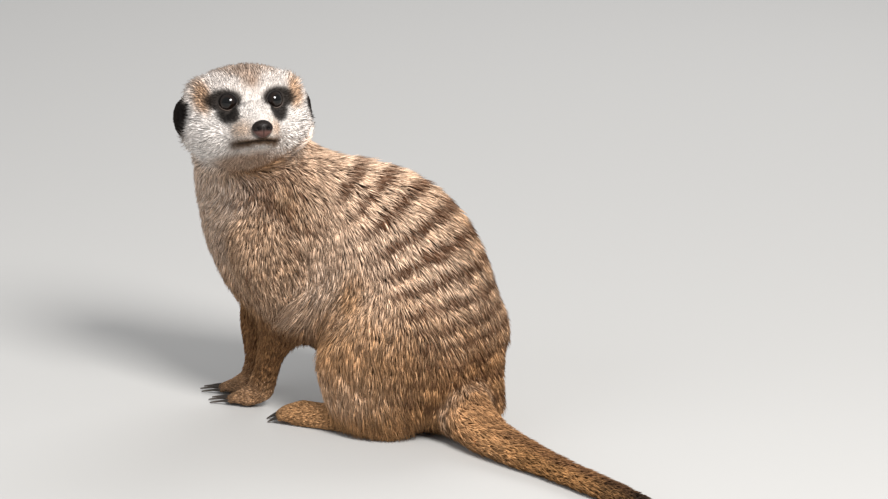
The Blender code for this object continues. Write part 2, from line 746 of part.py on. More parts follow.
def build():
    body = fused_body()
    fitted_to = twin(body, "body whole")
    pieces = parted(body)
    fitted, pieces["head"] = fitted_pieces(fitted_to, pieces["head"])
    pieces.update(fitted)
    model = bpy.data.collections.new("meerkat")
    bpy.context.scene.collection.children.link(model)
    for name, piece in pieces.items():
        FORMS.objects.unlink(piece)
        model.objects.link(piece)
        piece.name = name
        finish(piece)
    set_origin(list(pieces.values()))
    for guide in FORMS.objects:
        guide.hide_render = True
        guide.display_type = "WIRE"


for old in list(bpy.data.objects):
    bpy.data.objects.remove(old)
FORMS = bpy.data.collections.new("cutters")
bpy.context.scene.collection.children.link(FORMS)
build()
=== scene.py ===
"""Meerkat, life size: one skin, its coat, eyes, lids, nose and claws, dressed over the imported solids.

Laid out as an add-on: an operator for each piece or group of like pieces and one for the stage, and a panel.
Places are worked out in millimetres in the frame of the animal's own loops, in which its body heads to -X,
its face looks to -Y and the floor is at z = 0, and are set down in the model's frame at the end.
"""

import math

import bmesh
import bpy
import numpy as np
from bpy.props import FloatProperty, IntProperty, PointerProperty
from mathutils import Matrix, Vector, noise
from mathutils.bvhtree import BVHTree
from mathutils.kdtree import KDTree


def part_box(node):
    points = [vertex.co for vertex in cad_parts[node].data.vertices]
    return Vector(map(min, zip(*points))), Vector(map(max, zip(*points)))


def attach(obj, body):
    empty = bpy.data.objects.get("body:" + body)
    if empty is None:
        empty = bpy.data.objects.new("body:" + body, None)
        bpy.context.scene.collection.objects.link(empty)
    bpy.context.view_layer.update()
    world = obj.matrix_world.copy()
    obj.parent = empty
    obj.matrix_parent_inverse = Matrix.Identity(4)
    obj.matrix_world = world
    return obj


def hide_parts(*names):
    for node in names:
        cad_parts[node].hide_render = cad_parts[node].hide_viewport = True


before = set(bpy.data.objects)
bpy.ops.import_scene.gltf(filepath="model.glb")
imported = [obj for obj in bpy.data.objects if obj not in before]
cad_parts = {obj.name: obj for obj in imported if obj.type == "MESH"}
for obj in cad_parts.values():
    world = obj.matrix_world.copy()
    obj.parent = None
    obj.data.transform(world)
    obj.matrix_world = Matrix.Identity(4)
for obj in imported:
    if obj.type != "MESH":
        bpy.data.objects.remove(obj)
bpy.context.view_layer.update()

bl_info = {
    "name": "Meerkat",
    "version": (1, 0, 0),
    "blender": (4, 5, 0),
    "location": "3D View > Sidebar > Meerkat",
    "description": "Dresses a meerkat's solids with a skin, a coat of solid tufts, eyes, a nose and claws",
    "category": "Object",
}

MM = 0.001

# ---- the solids ------------------------------------------------------------------------------------------

SIDES = {"left": 1, "right": -1}
TAIL_KINDS = ("tail_root", "tail_middle", "tail_end", "tail_tip")
MIDDLE_KINDS = ("head", "neck", "trunk", *TAIL_KINDS)
SIDE_KINDS = ("upper_arm", "forearm", "forepaw", "thigh", "shank", "hindfoot", "ear")
KINDS = MIDDLE_KINDS + SIDE_KINDS
FLESH = MIDDLE_KINDS + tuple(f"{kind}_{side}" for kind in SIDE_KINDS for side in SIDES)
FILLED = ("eye_left", "eye_right", "nose")  # solids that fill their sockets while the flesh is fused
FEET = ("fore_left", "fore_right", "hind_left", "hind_right")
CLAWS_ON_A_FOOT = 4

# The face: the point midway between the eyes in the frame of the loops, and how the head is turned.
FACE = Vector((-47.5, -28.0, 161.0))
FACE_YAW, FACE_PITCH, FACE_ROLL = math.radians(12.5), math.radians(13), math.radians(-3.5)
EYE_APART, EYE_DEPTH = 20.2, 5.6
NOSE_CENTRE = np.array((0, 22.9, -12.6))
NOSE_HALF = np.array((4.9, 3.6, 4.1))
NOSE_MARGIN = 0.3  # how far round the nose pad no tuft grows

# Centre line of the tail, and the axis that the back bends round: stripes and coat run round it.
TAIL_HEIGHT = 8.0
TAIL = np.array([(x, y, TAIL_HEIGHT) for x, y in (
    (53, -12), (61, -28), (70.5, -43), (83, -57), (97, -71),
    (114, -90), (132, -110), (147, -133), (157, -158), (162, -180),
)])
TAIL_REACH = 18.0  # how far from its centre line a place may be and still be marked as tail
BEND = np.array((-62.0, 36.0))  # x and z
FLANK_FOLD = np.array((-15.0, -16.0, 68.0))
FRINGE_HEIGHTS = (9, 14, 20, 44)  # where the coat of the thigh hangs over the foot
FLANK_FOLD_AXES = np.array(((0.72, -0.69), (0.69, 0.72)))  # columns: along the fold and across it

# ---- skin ------------------------------------------------------------------------------------------------

WELD = 0.001 * MM
INFLATE = 0.4  # closes the saw cuts between the solids
SKIN_FLOOR = 0.3  # the lowest that the skin comes
RELAX_ROUNDS = 36
FACE_RELAX_ROUNDS = 5
FACE_REACH = 31.0  # how far from the middle of the face its grid is refined
FACE_MIDDLE = (0, 4, -9)
FACE_SPREAD = 30.0  # how far from its middle the face's form is kept
BLEND_ROUNDS = 26  # how far the coat of one part runs into the next
SIZE_NAMES = ("Depth", "Length", "Width", "Density", "Loft")  # attributes kept on the skin for its coat
MASKS = ("Warm", "Pale", "Brown_and_shade", "Stripe", "Dark")

# Coat of each part: depth, tuft length, tuft width (mm) and tufts to a square millimetre.
COAT = {
    "head": (2.6, 7.5, 0.58, 2.6),
    "neck": (4.0, 10.0, 0.66, 1.9),
    "trunk": (4.8, 10.5, 0.68, 1.8),
    "tail_root": (3.0, 9.0, 0.62, 2.0),
    "tail_middle": (2.4, 8.0, 0.56, 2.1),
    "tail_end": (2.0, 7.0, 0.52, 2.2),
    "tail_tip": (1.5, 7.0, 0.50, 2.4),
    "upper_arm": (3.2, 9.5, 0.66, 1.9),
    "forearm": (1.7, 6.0, 0.50, 2.6),
    "forepaw": (0.7, 2.8, 0.36, 4.8),
    "thigh": (4.8, 11.5, 0.68, 1.8),
    "shank": (3.0, 9.0, 0.62, 1.9),
    "hindfoot": (0.9, 3.6, 0.40, 3.4),
    "ear": (0.5, 1.8, 0.34, 7.0),
}
# How far the coat of a part keeps straight on over hollows and bulges.
LOFT = {
    "head": 0.12, "neck": 0.25, "trunk": 0.22, "tail_root": 0.2, "tail_middle": 0.2, "tail_end": 0.2,
    "tail_tip": 0.3, "upper_arm": 0.25, "forearm": 0.15, "forepaw": 0.05, "thigh": 0.3, "shank": 0.3,
    "hindfoot": 0.05, "ear": 0.0,
}
CHEEK_LOFT, FOLD_LOFT, FRINGE_LOFT = 0.55, 0.8, 0.75
# Which way the coat of a part lies, where it isn't worked out from the nose, the back or the tail.
LIE = {
    "forearm": (-0.15, 0.10, -1.0),
    "forepaw": (-0.93, 0.34, -0.30),
    "thigh": (0.10, -0.05, -1.0),
    "shank": (0.30, -0.10, -0.90),
    "hindfoot": (-0.93, 0.36, -0.15),
}
# How many degrees it swings from straight down toward the rump, by the angle round the bend of the back.
BACK_LIE = ((-90, -30, 30, 75, 100, 180), (-12, -12, 35, 66, 50, 20))
FLANK_LIE = ((-90, 0, 35, 59, 75, 90, 180), (-10, -5, 10, 26, 0, -34, -34))
# Coat of the face, from the nose (first value) back to the cheeks (second).
FACE_DEPTH, FACE_LENGTH, FACE_WIDTH, FACE_DENSITY = (0.5, 3.2), (1.3, 10.5), (0.26, 0.56), (9.0, 2.6)
FACE_SPAN = (5.0, 44.0)
# What the coat's depth, length, width and density are multiplied by at these places, and the distances
# from an eye or a claw over which that ends.
NEAR_EYE, EYE_COAT_SPAN = (0.4, 0.42, 0.6, 1.8), (7, 15)
AT_CLAW, CLAW_COAT_SPAN = (0.25, 0.6, 1, 1), (6, 12)
ON_EAR, BY_EAR = (0.5, 1, 1, 1), (1, 0.35, 0.7, 1)
LONGER = {"cheek": 0.4, "low": 0.25, "fringe": 0.6, "fold": 0.7}  # how much longer the coat is there
CHEEK_DEEPER = 0.25
FOLD_TILT = -48  # degrees by which the coat on the fold of the flank swings from straight down
SWIRL, TAIL_SWIRL = 0.35, 0.10  # how far the lie of the coat wanders
EYE_SWIRL = 0.4  # how far the coat near an eye lies away from it

# ---- eyes, lids and mouth --------------------------------------------------------------------------------

EYE_TURN, EYE_LIFT = math.radians(24), math.radians(4)  # where an eye looks: outward and up
EYE_OPENING = (68, 62, 53, 50)  # degrees from the middle: outer corner, inner corner, top and bottom
OPENING_POWER = 1.75  # 2 is an ellipse, less is more pointed at the corners
LID_PROFILE = (  # degrees outside the opening, height over the eyeball
    (-0.5, -0.30), (-1.6, 0.04), (-0.8, 0.26), (2.5, 0.40), (8.0, 0.42), (16.0, 0.25), (28.0, -0.1),
    (42.0, -0.8), (46.0, -1.5), (24.0, -1.2), (4.0, -0.9),
)
LID_STEPS = 56
SKIN_OVER_EYE, SKIN_UNDER_EYE = 0.25, 1.6  # round the lids and inside the opening
EYE_NEAR = 9.0  # how far outside an eyeball the skin is drawn to it
DIVE = (-7, 2)  # degrees inside the opening over which the skin goes under the eyeball
LOOSE_FROM, LOOSE_TO = (2, 7), (8, 13)  # degrees outside the opening, and distances outside the eyeball
HUG_FROM = 3  # degrees outside the opening
EYE_RELAX, EYE_RELAX_ROUNDS = 0.7, 30
BRIDGE_RELAX, BRIDGE_RELAX_ROUNDS = 0.95, 120
CORNEA_HEIGHT, CORNEA_WIDTH = 0.045, math.radians(30)  # height in radii of the eyeball
EYE_REACH = (3, 24)  # degrees outside the opening over which the skin leaves the eyeball
# The line of the mouth: distances from the middle, and heights.
MOUTH = ((0, 4, 7.5, 10.5, 14), (-18.3, -18.5, -19.0, -18.7, -17.8))
MOUTH_DEPTH, MOUTH_WIDTH, MOUTH_BACK = 0.9, 1.0, (-9, -3)

# ---- colours ---------------------------------------------------------------------------------------------

COLOURS = {
    "grey": (0.76, 0.55, 0.40),
    "warm": (0.50, 0.275, 0.130),
    "pale": (0.85, 0.79, 0.745),
    # Brown coat, and also the colour of the painted shade under the chin, on the chest and on the forelegs.
    "brown": (0.33, 0.170, 0.068),
    "stripe": (0.120, 0.056, 0.030),
    "dark": (0.015, 0.011, 0.009),
    "lid": (0.010, 0.008, 0.007),
    # Lighter lower rim of the lids: a painted catch light.
    "lid_catchlight": (0.20, 0.15, 0.125),
    "nose": (0.009, 0.006, 0.005),
    "nose_pink": (0.095, 0.046, 0.038),
    # Painted shade in the nostrils and slits.
    "nostril": (0.004, 0.003, 0.003),
    "claw": (0.020, 0.015, 0.012),
    "claw_tip": (0.075, 0.058, 0.045),
}
# The eyeball's rings, from its middle outward: share of the way to its rim, and colour.
EYE_RINGS = (
    (0.0, (0.002, 0.002, 0.002)), (0.26, (0.002, 0.002, 0.002)), (0.32, (0.009, 0.005, 0.003)),
    (0.48, (0.007, 0.004, 0.003)), (0.56, (0.003, 0.002, 0.002)), (1.0, (0.010, 0.007, 0.006)),
)


# ---- small tools -----------------------------------------------------------------------------------------


def head_matrix():
    """From the head's axes (left, forward, up) to those of the loops."""
    looks_ahead = Matrix(((1, 0, 0), (0, -1, 0), (0, 0, 1))).to_4x4()
    turned = Matrix.Rotation(FACE_YAW, 4, "Z") @ Matrix.Rotation(-FACE_PITCH, 4, "X")
    return Matrix.Translation(FACE) @ turned @ Matrix.Rotation(FACE_ROLL, 4, "Y") @ looks_ahead


HEAD = head_matrix()
HEAD_AXES = np.array(HEAD.to_3x3())  # its columns
HEAD_PLACE = np.array(HEAD.translation)


def centre_of(node):
    low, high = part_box(node)
    return (np.array(low) + np.array(high)) / 2


def found_shift():
    """What moves the loops' frame to the model's, in millimetres: told by where the eyes are."""
    middle = (centre_of("eye_left") + centre_of("eye_right")) / 2 / MM
    return middle - np.array(HEAD @ Vector((0, -EYE_DEPTH, 0)))


SHIFT = found_shift()


def to_model(places):
    return (np.asarray(places, float) + SHIFT) * MM


def to_loops(places):
    return np.asarray(places, float) / MM - SHIFT


def in_head(places):
    """Places in the head's own axes."""
    return (places - HEAD_PLACE) @ HEAD_AXES


def from_head(places):
    return np.asarray(places, float) @ HEAD_AXES.T + HEAD_PLACE


def ramp(values, start, end):
    """0 before the start, 1 after the end, and a smooth rise between."""
    t = np.clip((values - start) / (end - start), 0, 1)
    return t * t * (3 - 2 * t)


def mix(a, b, share):
    return a + (b - a) * share


def unit(vectors):
    return vectors / np.maximum(np.linalg.norm(vectors, axis=-1, keepdims=True), 1e-9)


def row_dot(a, b):
    return np.einsum("ij,ij->i", a, b)[:, None]


def grain(places, size, seed=0):
    """Smooth noise from -1 to 1 with grains of about this size, in millimetres."""
    offset = Vector((seed * 17.3, seed * 5.1, seed * 9.7))
    return np.array([noise.noise(Vector(place) / size + offset) for place in places.tolist()])


def along_tail(places):
    """Distance of each place to the tail's centre line, the way of its nearest stretch, and the share of the
    tail's length up to there."""
    lengths = np.concatenate([[0], np.cumsum(np.linalg.norm(np.diff(TAIL, axis=0), axis=1))])
    best, ways, shares = np.full(len(places), np.inf), np.zeros_like(places), np.zeros(len(places))
    for start, end, before, after in zip(TAIL, TAIL[1:], lengths, lengths[1:]):
        along = end - start
        t = np.clip((places - start) @ along / (along @ along), 0, 1)
        gap = np.linalg.norm(places - start - t[:, None] * along, axis=1)
        nearer = gap < best
        best[nearer] = gap[nearer]
        ways[nearer] = along / np.linalg.norm(along)
        shares[nearer] = ((before + t * (after - before)) / lengths[-1])[nearer]
    return best, ways, shares


def round_bend(places):
    """Distance of each place from the axis that the back bends round, and its angle round it in degrees."""
    bent = places[:, (0, 2)] - BEND
    return np.linalg.norm(bent, axis=1), np.degrees(np.arctan2(bent[:, 1], bent[:, 0]))


def from_claws(places):
    """For each foot, the distance from these places to the middle of its nearest claw."""
    gaps = {}
    for foot in FEET:
        claws = [to_loops(centre_of(f"claw_{foot}_{number}")) for number in range(1, CLAWS_ON_A_FOOT + 1)]
        gaps[foot] = np.min([np.linalg.norm(places - claw, axis=1) for claw in claws], axis=0)
    return gaps


def from_nearest_claw(places):
    """Distance from these places to the middle of the nearest claw of any foot."""
    return np.minimum.reduce(list(from_claws(places).values()))


class Surface:
    """A mesh as arrays: places in the loops' frame, triangles and edges."""

    def __init__(self, mesh):
        count = len(mesh.vertices)
        places = np.empty(count * 3)
        mesh.vertices.foreach_get("co", places)
        self.places = to_loops(places.reshape(-1, 3))
        edges = np.empty(len(mesh.edges) * 2, int)
        mesh.edges.foreach_get("vertices", edges)
        self.edges = edges.reshape(-1, 2)
        mesh.calc_loop_triangles()
        triangles = np.empty(len(mesh.loop_triangles) * 3, int)
        mesh.loop_triangles.foreach_get("vertices", triangles)
        self.triangles = triangles.reshape(-1, 3)
        self.ends = np.concatenate([self.edges[:, 0], self.edges[:, 1]])
        self.others = np.concatenate([self.edges[:, 1], self.edges[:, 0]])
        self.degree = np.maximum(np.bincount(self.ends, minlength=count), 1)[:, None]

    def around(self, values):
        """The mean of each vertex's neighbours."""
        count = len(self.places)
        sums = [np.bincount(self.ends, column[self.others], count) for column in values.T]
        return np.array(sums).T / self.degree

    def spread(self, values, rounds, strength=0.6):
        for _ in range(rounds):
            values = mix(values, self.around(values), strength)
        return values

    def relax(self, strength, rounds):
        self.places = self.spread(self.places, rounds, strength[:, None])

    def normals(self):
        a, b, c = (self.places[self.triangles[:, i]] for i in range(3))
        faces, total = np.cross(b - a, c - a), np.zeros_like(self.places)
        for i in range(3):
            for axis in range(3):
                total[:, axis] += np.bincount(self.triangles[:, i], faces[:, axis], len(total))
        return unit(total)

    def areas(self, triangles):
        a, b, c = (self.places[triangles[:, i]] for i in range(3))
        return np.linalg.norm(np.cross(b - a, c - a), axis=1) / 2

    def tree(self):
        return BVHTree.FromPolygons(self.places.tolist(), self.triangles.tolist())


def written(shape, mesh):
    """The mesh, or a new one of this name, filled from a bmesh, which is freed."""
    mesh = bpy.data.meshes.new(mesh) if isinstance(mesh, str) else mesh
    shape.to_mesh(mesh)
    shape.free()
    return mesh


def link(name, mesh):
    made = bpy.data.objects.new(name, mesh)
    bpy.context.scene.collection.objects.link(made)
    return made


def applied(made):
    """The object's mesh with its modifiers applied. The object is removed."""
    graph = bpy.context.evaluated_depsgraph_get()
    mesh = bpy.data.meshes.new_from_object(made.evaluated_get(graph))
    bpy.data.objects.remove(made)
    return mesh


def keep(piece, slot, material, *nodes):
    """Finishes a piece: its material, what carries it and which solids it stands for. Its slot is not used.
    """
    piece.data.materials.clear()
    piece.data.materials.append(material)
    piece.data.shade_smooth()
    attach(piece, "root")
    if nodes:
        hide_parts(*nodes)
    return piece


def store(mesh, name, values):
    """Keeps a value of each vertex, or a vector of each, as an attribute."""
    values = np.ascontiguousarray(values, np.float32)
    kind, field = ("FLOAT", "value") if values.ndim == 1 else ("FLOAT_VECTOR", "vector")
    mesh.attributes.new(name, kind, "POINT").data.foreach_set(field, values.ravel())


def stored(mesh, name):
    attribute = mesh.attributes[name]
    wide = 3 if attribute.data_type == "FLOAT_VECTOR" else 1
    values = np.empty(len(mesh.vertices) * wide, np.float32)
    attribute.data.foreach_get("vector" if wide == 3 else "value", values)
    return values.reshape(-1, 3).astype(float) if wide == 3 else values.astype(float)


# ---- the skin --------------------------------------------------------------------------------------------


def fused_flesh(voxel):
    """The solids of flesh as one closed mesh, with no cuts."""
    shape = bmesh.new()
    for name in FLESH + FILLED:
        shape.from_mesh(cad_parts[name].data)
    bmesh.ops.remove_doubles(shape, verts=shape.verts, dist=WELD)
    made = link("flesh", written(shape, "flesh"))
    swell = made.modifiers.new("Swell", "DISPLACE")
    swell.mid_level, swell.strength = 0, INFLATE * MM
    fuse = made.modifiers.new("Fuse", "REMESH")
    fuse.mode, fuse.voxel_size = "VOXEL", voxel
    return applied(made)


def outer_island(mesh):
    """Drops all loose pieces but the largest."""
    shape = bmesh.new()
    shape.from_mesh(mesh)
    unseen, islands = set(shape.verts), []
    while unseen:
        island, edge = set(), [unseen.pop()]
        while edge:
            vertex = edge.pop()
            island.add(vertex)
            for link_edge in vertex.link_edges:
                other = link_edge.other_vert(vertex)
                if other in unseen:
                    unseen.discard(other)
                    edge.append(other)
        islands.append(island)
    islands.sort(key=len, reverse=True)
    dropped = [vertex for island in islands[1:] for vertex in island]
    bmesh.ops.delete(shape, geom=dropped, context="VERTS")
    return written(shape, mesh)


def with_places(mesh, places):
    mesh.vertices.foreach_set("co", to_model(places).astype(np.float32).ravel())
    mesh.update()


def refined_face(mesh):
    """The face's grid made twice as fine."""
    shape = bmesh.new()
    shape.from_mesh(mesh)
    shape.verts.ensure_lookup_table()
    places = to_loops([vertex.co[:] for vertex in shape.verts])
    inside = np.linalg.norm(in_head(places) - FACE_MIDDLE, axis=1) < FACE_REACH
    edges = [edge for edge in shape.edges if inside[edge.verts[0].index] and inside[edge.verts[1].index]]
    bmesh.ops.subdivide_edges(shape, edges=edges, cuts=1, use_grid_fill=True)
    return written(shape, mesh)


def label_shares(surface):
    """How much of each kind of part a vertex belongs to, and the index of its nearest solid."""
    corners, faces, owners = [], [], []
    for index, name in enumerate(FLESH):
        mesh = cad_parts[name].data
        solid = Surface(mesh)
        faces.append(solid.triangles + sum(len(c) for c in corners))
        corners.append(solid.places)
        owners += [index] * len(solid.triangles)
    tree = BVHTree.FromPolygons(np.concatenate(corners).tolist(), np.concatenate(faces).tolist())
    nearest = np.array([owners[tree.find_nearest(place)[2]] for place in surface.places.tolist()])
    kinds = np.array([next(i for i, kind in enumerate(KINDS) if name.startswith(kind)) for name in FLESH])
    shares = np.eye(len(KINDS))[kinds[nearest]]
    return surface.spread(shares, BLEND_ROUNDS), nearest


def eye_axes(side):
    """The centre of an eye, and its axes out, sideways and up, in the head's axes."""
    turn, lift = EYE_TURN, EYE_LIFT
    out = np.array((side * math.sin(turn) * math.cos(lift), math.cos(turn) * math.cos(lift), math.sin(lift)))
    sideways = np.array((side * math.cos(turn), -math.sin(turn), 0))
    up = np.cross(sideways, out) * side
    return np.array((side * EYE_APART / 2, -EYE_DEPTH, 0)), out, sideways, up * np.sign(up[2])


def eye_radius():
    low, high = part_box("eye_left")
    return (high[2] - low[2]) / 2 / MM


def opening(angle):
    """Degrees from an eye's middle to the edge of the opening between the lids, at an angle round it."""
    outer, inner, top, bottom = EYE_OPENING
    across, high = np.cos(angle), np.sin(angle)
    wide, tall = np.where(across > 0, outer, inner), np.where(high > 0, top, bottom)
    power = OPENING_POWER
    return (np.abs(across / wide) ** power + np.abs(high / tall) ** power) ** (-1 / power)


def round_eye(heads, side):
    """Distance from an eye's centre, and degrees outside its opening."""
    centre, out, sideways, up = eye_axes(side)
    gap = heads - centre
    far = np.linalg.norm(gap, axis=1)
    tilt = np.degrees(np.arccos(np.clip(gap @ out / far, -1, 1)))
    return gap, far, tilt - opening(np.arctan2(gap @ up, gap @ sideways))


def bridge_of_nose(heads):
    """Where the forehead runs into the muzzle between the eyes, from 0 to 1."""
    left, ahead, up = heads.T
    return np.exp(-((left / 8) ** 2)) * ramp(up, -9, -4) * (1 - ramp(up, 6, 12)) * ramp(ahead, -14, -6)


def fit_round_eyes(surface):
    """Lets the skin hug each eyeball round its lids, and dive under it inside their opening."""
    radius, heads = eye_radius(), in_head(surface.places)
    hug = radius + SKIN_OVER_EYE
    loose = np.zeros(len(heads))
    for side in SIDES.values():
        gap, far, outside = round_eye(heads, side)
        target = mix(np.full_like(far, hug), far, ramp(outside, *EYE_REACH))
        dived = mix(hug, radius - SKIN_UNDER_EYE, ramp(-outside, *DIVE))
        target = np.where(-outside > DIVE[0], dived, target)
        moved = (far < radius + EYE_NEAR) & (outside < EYE_REACH[1])
        heads[moved] += gap[moved] * (target[moved] / far[moved] - 1)[:, None]
        away = ramp(far, radius + LOOSE_TO[0], radius + LOOSE_TO[1])
        loose = np.maximum(loose, ramp(outside, *LOOSE_FROM) * (1 - away))
    bridge = bridge_of_nose(heads)
    surface.places = from_head(heads)
    surface.relax(BRIDGE_RELAX * bridge ** 1.5, BRIDGE_RELAX_ROUNDS)
    loose = np.maximum(loose, bridge)
    for _ in range(EYE_RELAX_ROUNDS):
        surface.relax(EYE_RELAX * loose, 1)
        heads = in_head(surface.places)
        for side in SIDES.values():
            gap, far, outside = round_eye(heads, side)
            sunk = (far < hug) & (outside > HUG_FROM)
            heads[sunk] += gap[sunk] * (hug / far[sunk] - 1)[:, None]
        surface.places = from_head(heads)


def cut_mouth(surface):
    """Presses in the line of the mouth."""
    heads = in_head(surface.places)
    across = np.abs(heads[:, 0])
    gap = np.abs(heads[:, 2] - np.interp(across, *MOUTH))
    gap = gap + 20 * ramp(across, 12, 18) + 20 * (1 - ramp(heads[:, 1], *MOUTH_BACK))
    press = MOUTH_DEPTH * np.exp(-((gap / MOUTH_WIDTH) ** 2))
    surface.places -= surface.normals() * press[:, None]
    return gap


def share_on_ear(shares):
    """1 on an ear out to its edges, where only part of the blended share is its own."""
    return np.clip(3 * share_of(shares, "ear"), 0, 1)


def share_of(shares, *kinds):
    """How much of these kinds of part each vertex belongs to."""
    return sum(shares[:, KINDS.index(kind)] for kind in kinds)


def coat_sizes(surface, shares):
    """Depth, length, width and density of the coat at each vertex."""
    heads = in_head(surface.places)
    from_nose = ramp(np.linalg.norm(heads - NOSE_CENTRE, axis=1), *FACE_SPAN)
    on_head = share_of(shares, "head")
    sizes = []
    for column, face in enumerate((FACE_DEPTH, FACE_LENGTH, FACE_WIDTH, FACE_DENSITY)):
        plain = shares @ np.array([COAT[kind][column] for kind in KINDS])
        sizes.append(mix(plain, mix(face[0], face[1], from_nose), on_head))
    changes = []
    for side in SIDES.values():
        from_eye = np.linalg.norm(heads - eye_axes(side)[0], axis=1)
        changes.append((1 - ramp(from_eye, *EYE_COAT_SPAN), NEAR_EYE))
    on_ear = share_on_ear(shares)
    changes += [
        (1 - ramp(from_nearest_claw(surface.places), *CLAW_COAT_SPAN), AT_CLAW),
        (on_ear, ON_EAR), (np.maximum(on_ear, round_ears(heads) * on_head), BY_EAR),
    ]
    for share, factors in changes:
        sizes = [size * mix(1, factor, share) for size, factor in zip(sizes, factors)]
    depth, length, width, density = sizes
    left, ahead, up = heads.T
    cheek = ramp(np.abs(left), 15, 23) * ramp(-ahead, 0, 12) * ramp(-up, 3, 11) * on_head
    low = share_of(shares, "thigh", "shank") * (1 - ramp(surface.places[:, 2], 16, 34))
    fringe = fringe_of_thigh(surface, shares)
    length = length * (1 + LONGER["cheek"] * cheek + LONGER["low"] * low + LONGER["fringe"] * fringe)
    length = length * (1 + LONGER["fold"] * fold_of_flank(surface.places))
    return depth * (1 + CHEEK_DEEPER * cheek), length, width, density


def round_ears(heads):
    """Where the coat is short in front of the ears, from 0 to 1."""
    left, ahead, up = heads.T
    beside = ramp(np.abs(left), 17, 21) * ramp(-ahead, 6, 12) * (1 - ramp(-ahead, 34, 40))
    return beside * (1 - ramp(up, 2, 7)) * ramp(up, -18, -14)


def fold_of_flank(places):
    """Where long strands run forward over the fold between the flank and the thigh, from 0 to 1."""
    gap = (places - FLANK_FOLD)[:, (0, 2)] @ FLANK_FOLD_AXES
    near = np.exp(-((gap[:, 0] / 17) ** 2) - ((gap[:, 1] / 9) ** 2))
    return near * (1 - ramp(places[:, 1], -8, 6))


def fringe_of_thigh(surface, shares):
    """Where the coat of the thigh hangs over the foot, from 0 to 1."""
    legs = share_of(shares, "thigh", "shank", "hindfoot")
    x, y, z = surface.places.T
    band = ramp(z, *FRINGE_HEIGHTS[:2]) * (1 - ramp(z, *FRINGE_HEIGHTS[2:]))
    return band * np.clip(legs, 0, 1) * ramp(np.abs(y), 12, 20) * ramp(x, -20, -10)


def loft_of_coat(surface, shares):
    """How far a tuft keeps straight on over hollows and bulges, from 0 to 1, instead of lying close."""
    heads = in_head(surface.places)
    on_head = share_of(shares, "head")
    cheek = ramp(np.abs(heads[:, 0]), 14, 22) * ramp(-heads[:, 1], 2, 14) * on_head
    plain = shares @ np.array([LOFT[kind] for kind in KINDS])
    fold, fringe = fold_of_flank(surface.places), fringe_of_thigh(surface, shares)
    cheek = cheek * (1 - share_on_ear(shares)) * (1 - round_ears(heads))
    lofts = [plain, CHEEK_LOFT * cheek, FOLD_LOFT * fold, FRINGE_LOFT * fringe]
    return np.clip(np.maximum.reduce(lofts), 0, 1)


def lie_of_coat(surface, shares):
    """The way the coat lies at each vertex."""
    places, heads = surface.places, in_head(surface.places)
    lies = {kind: np.tile(way, (len(places), 1)) for kind, way in LIE.items()}
    from_nose = heads - (NOSE_CENTRE + (0, 2, 1))
    for side in SIDES.values():
        gap = heads - eye_axes(side)[0]
        close = 1 - ramp(np.linalg.norm(gap, axis=1), 6, 13)
        from_nose = mix(unit(from_nose), unit(gap), EYE_SWIRL * close[:, None])
    lies["head"] = lies["ear"] = unit(from_nose) @ HEAD_AXES.T
    far, angle = round_bend(places)
    tilt = mix(np.interp(angle, *FLANK_LIE), np.interp(angle, *BACK_LIE), ramp(far, 72, 104))
    tilt = np.radians(mix(tilt, FOLD_TILT, fold_of_flank(places)))
    lies["trunk"] = np.stack([np.sin(tilt), np.full_like(tilt, -0.05), -np.cos(tilt)], axis=1)
    lies["neck"] = lies["upper_arm"] = lies["trunk"]
    lies.update((kind, along_tail(places)[1]) for kind in TAIL_KINDS)
    total = sum(lies[kind] * shares[:, index, None] for index, kind in enumerate(KINDS))
    normals = surface.normals()
    wander = np.stack([grain(places, 7.0, seed) for seed in (1, 2, 3)], axis=1)
    total = unit(total) + wander * mix(SWIRL, TAIL_SWIRL, share_of(shares, *TAIL_KINDS)[:, None])
    return unit(total - normals * row_dot(total, normals))


# ---- markings --------------------------------------------------------------------------------------------

# Angles of the stripes round the bend of the back, and how far from the bend they fade in.
STRIPE_ANGLES = (-15, -8, -2.4, 2.2, 6.7, 10.7, 15.2, 20.9, 26.5, 32.9, 40, 46, 52.5, 59, 66)
STRIPE_REACH = (76, 100)
# The lower edge of the crown: distances from the middle, and heights.
CROWN_EDGE = ((0, 3, 7, 14, 19, 23, 28), (5.0, 6.5, 10.5, 11, 13, 17, 18))
# Middle and half size of each patch, outward and up of the eye, and how soft and how dark they are.
EYE_PATCH = (((2.5, 0.7), (8.0, 5.3)), ((1.6, -4.8), (4.8, 5.6)))
EYE_PATCH_EDGE, EYE_PATCH_DARKNESS = 0.16, 0.97
TEMPLE_PATCH, TEMPLE_EDGE = ((10.8, 2.0), (3.4, 7.6)), 0.45
EAR_PATCH = ((-25, -6.5), (9.5, 8.2))  # middle and half size, ahead and up of the middle of the face
MOUTH_HALF, MOUTH_SHADE = (7.5, 13), 1.8  # where its line fades out sideways, and its width
NOSE_RIM = (1.02, 1.2)
TOE_DARKNESS, TOE_SPAN = {"fore": 0.55, "hind": 0.25}, (4.5, 10)
TAIL_TIP = (0.46, 0.74)  # over which share of the tail it darkens
GRAINS = ((3.2, 4), (8.0, 5), (20.0, 6))  # size and seed of the fine, the coarse and the broad noise
# The painted shade that greys each side of the muzzle: its middle and spread.
MUZZLE_SHADE_MIDDLE, MUZZLE_SHADE_SPREAD = (7.5, -13), (4.5, 4.5)  # outward and up
SHOULDER_MIDDLE, SHOULDER_SPREAD = (-36, 97), (21, 27)  # x and z
RUST_MIDDLE, RUST_SPREAD = (3, 64), (8, 15)


def spot(across, high, middle, half, softness):
    """1 inside an ellipse, fading out over its edge."""
    reach = np.sqrt(((across - middle[0]) / half[0]) ** 2 + ((high - middle[1]) / half[1]) ** 2)
    return 1 - ramp(reach, 1 - softness, 1 + softness)


def blob(a, b, middle, spread):
    """A soft spot: 1 at its middle."""
    return np.exp(-((a - middle[0]) / spread[0]) ** 2 - ((b - middle[1]) / spread[1]) ** 2)


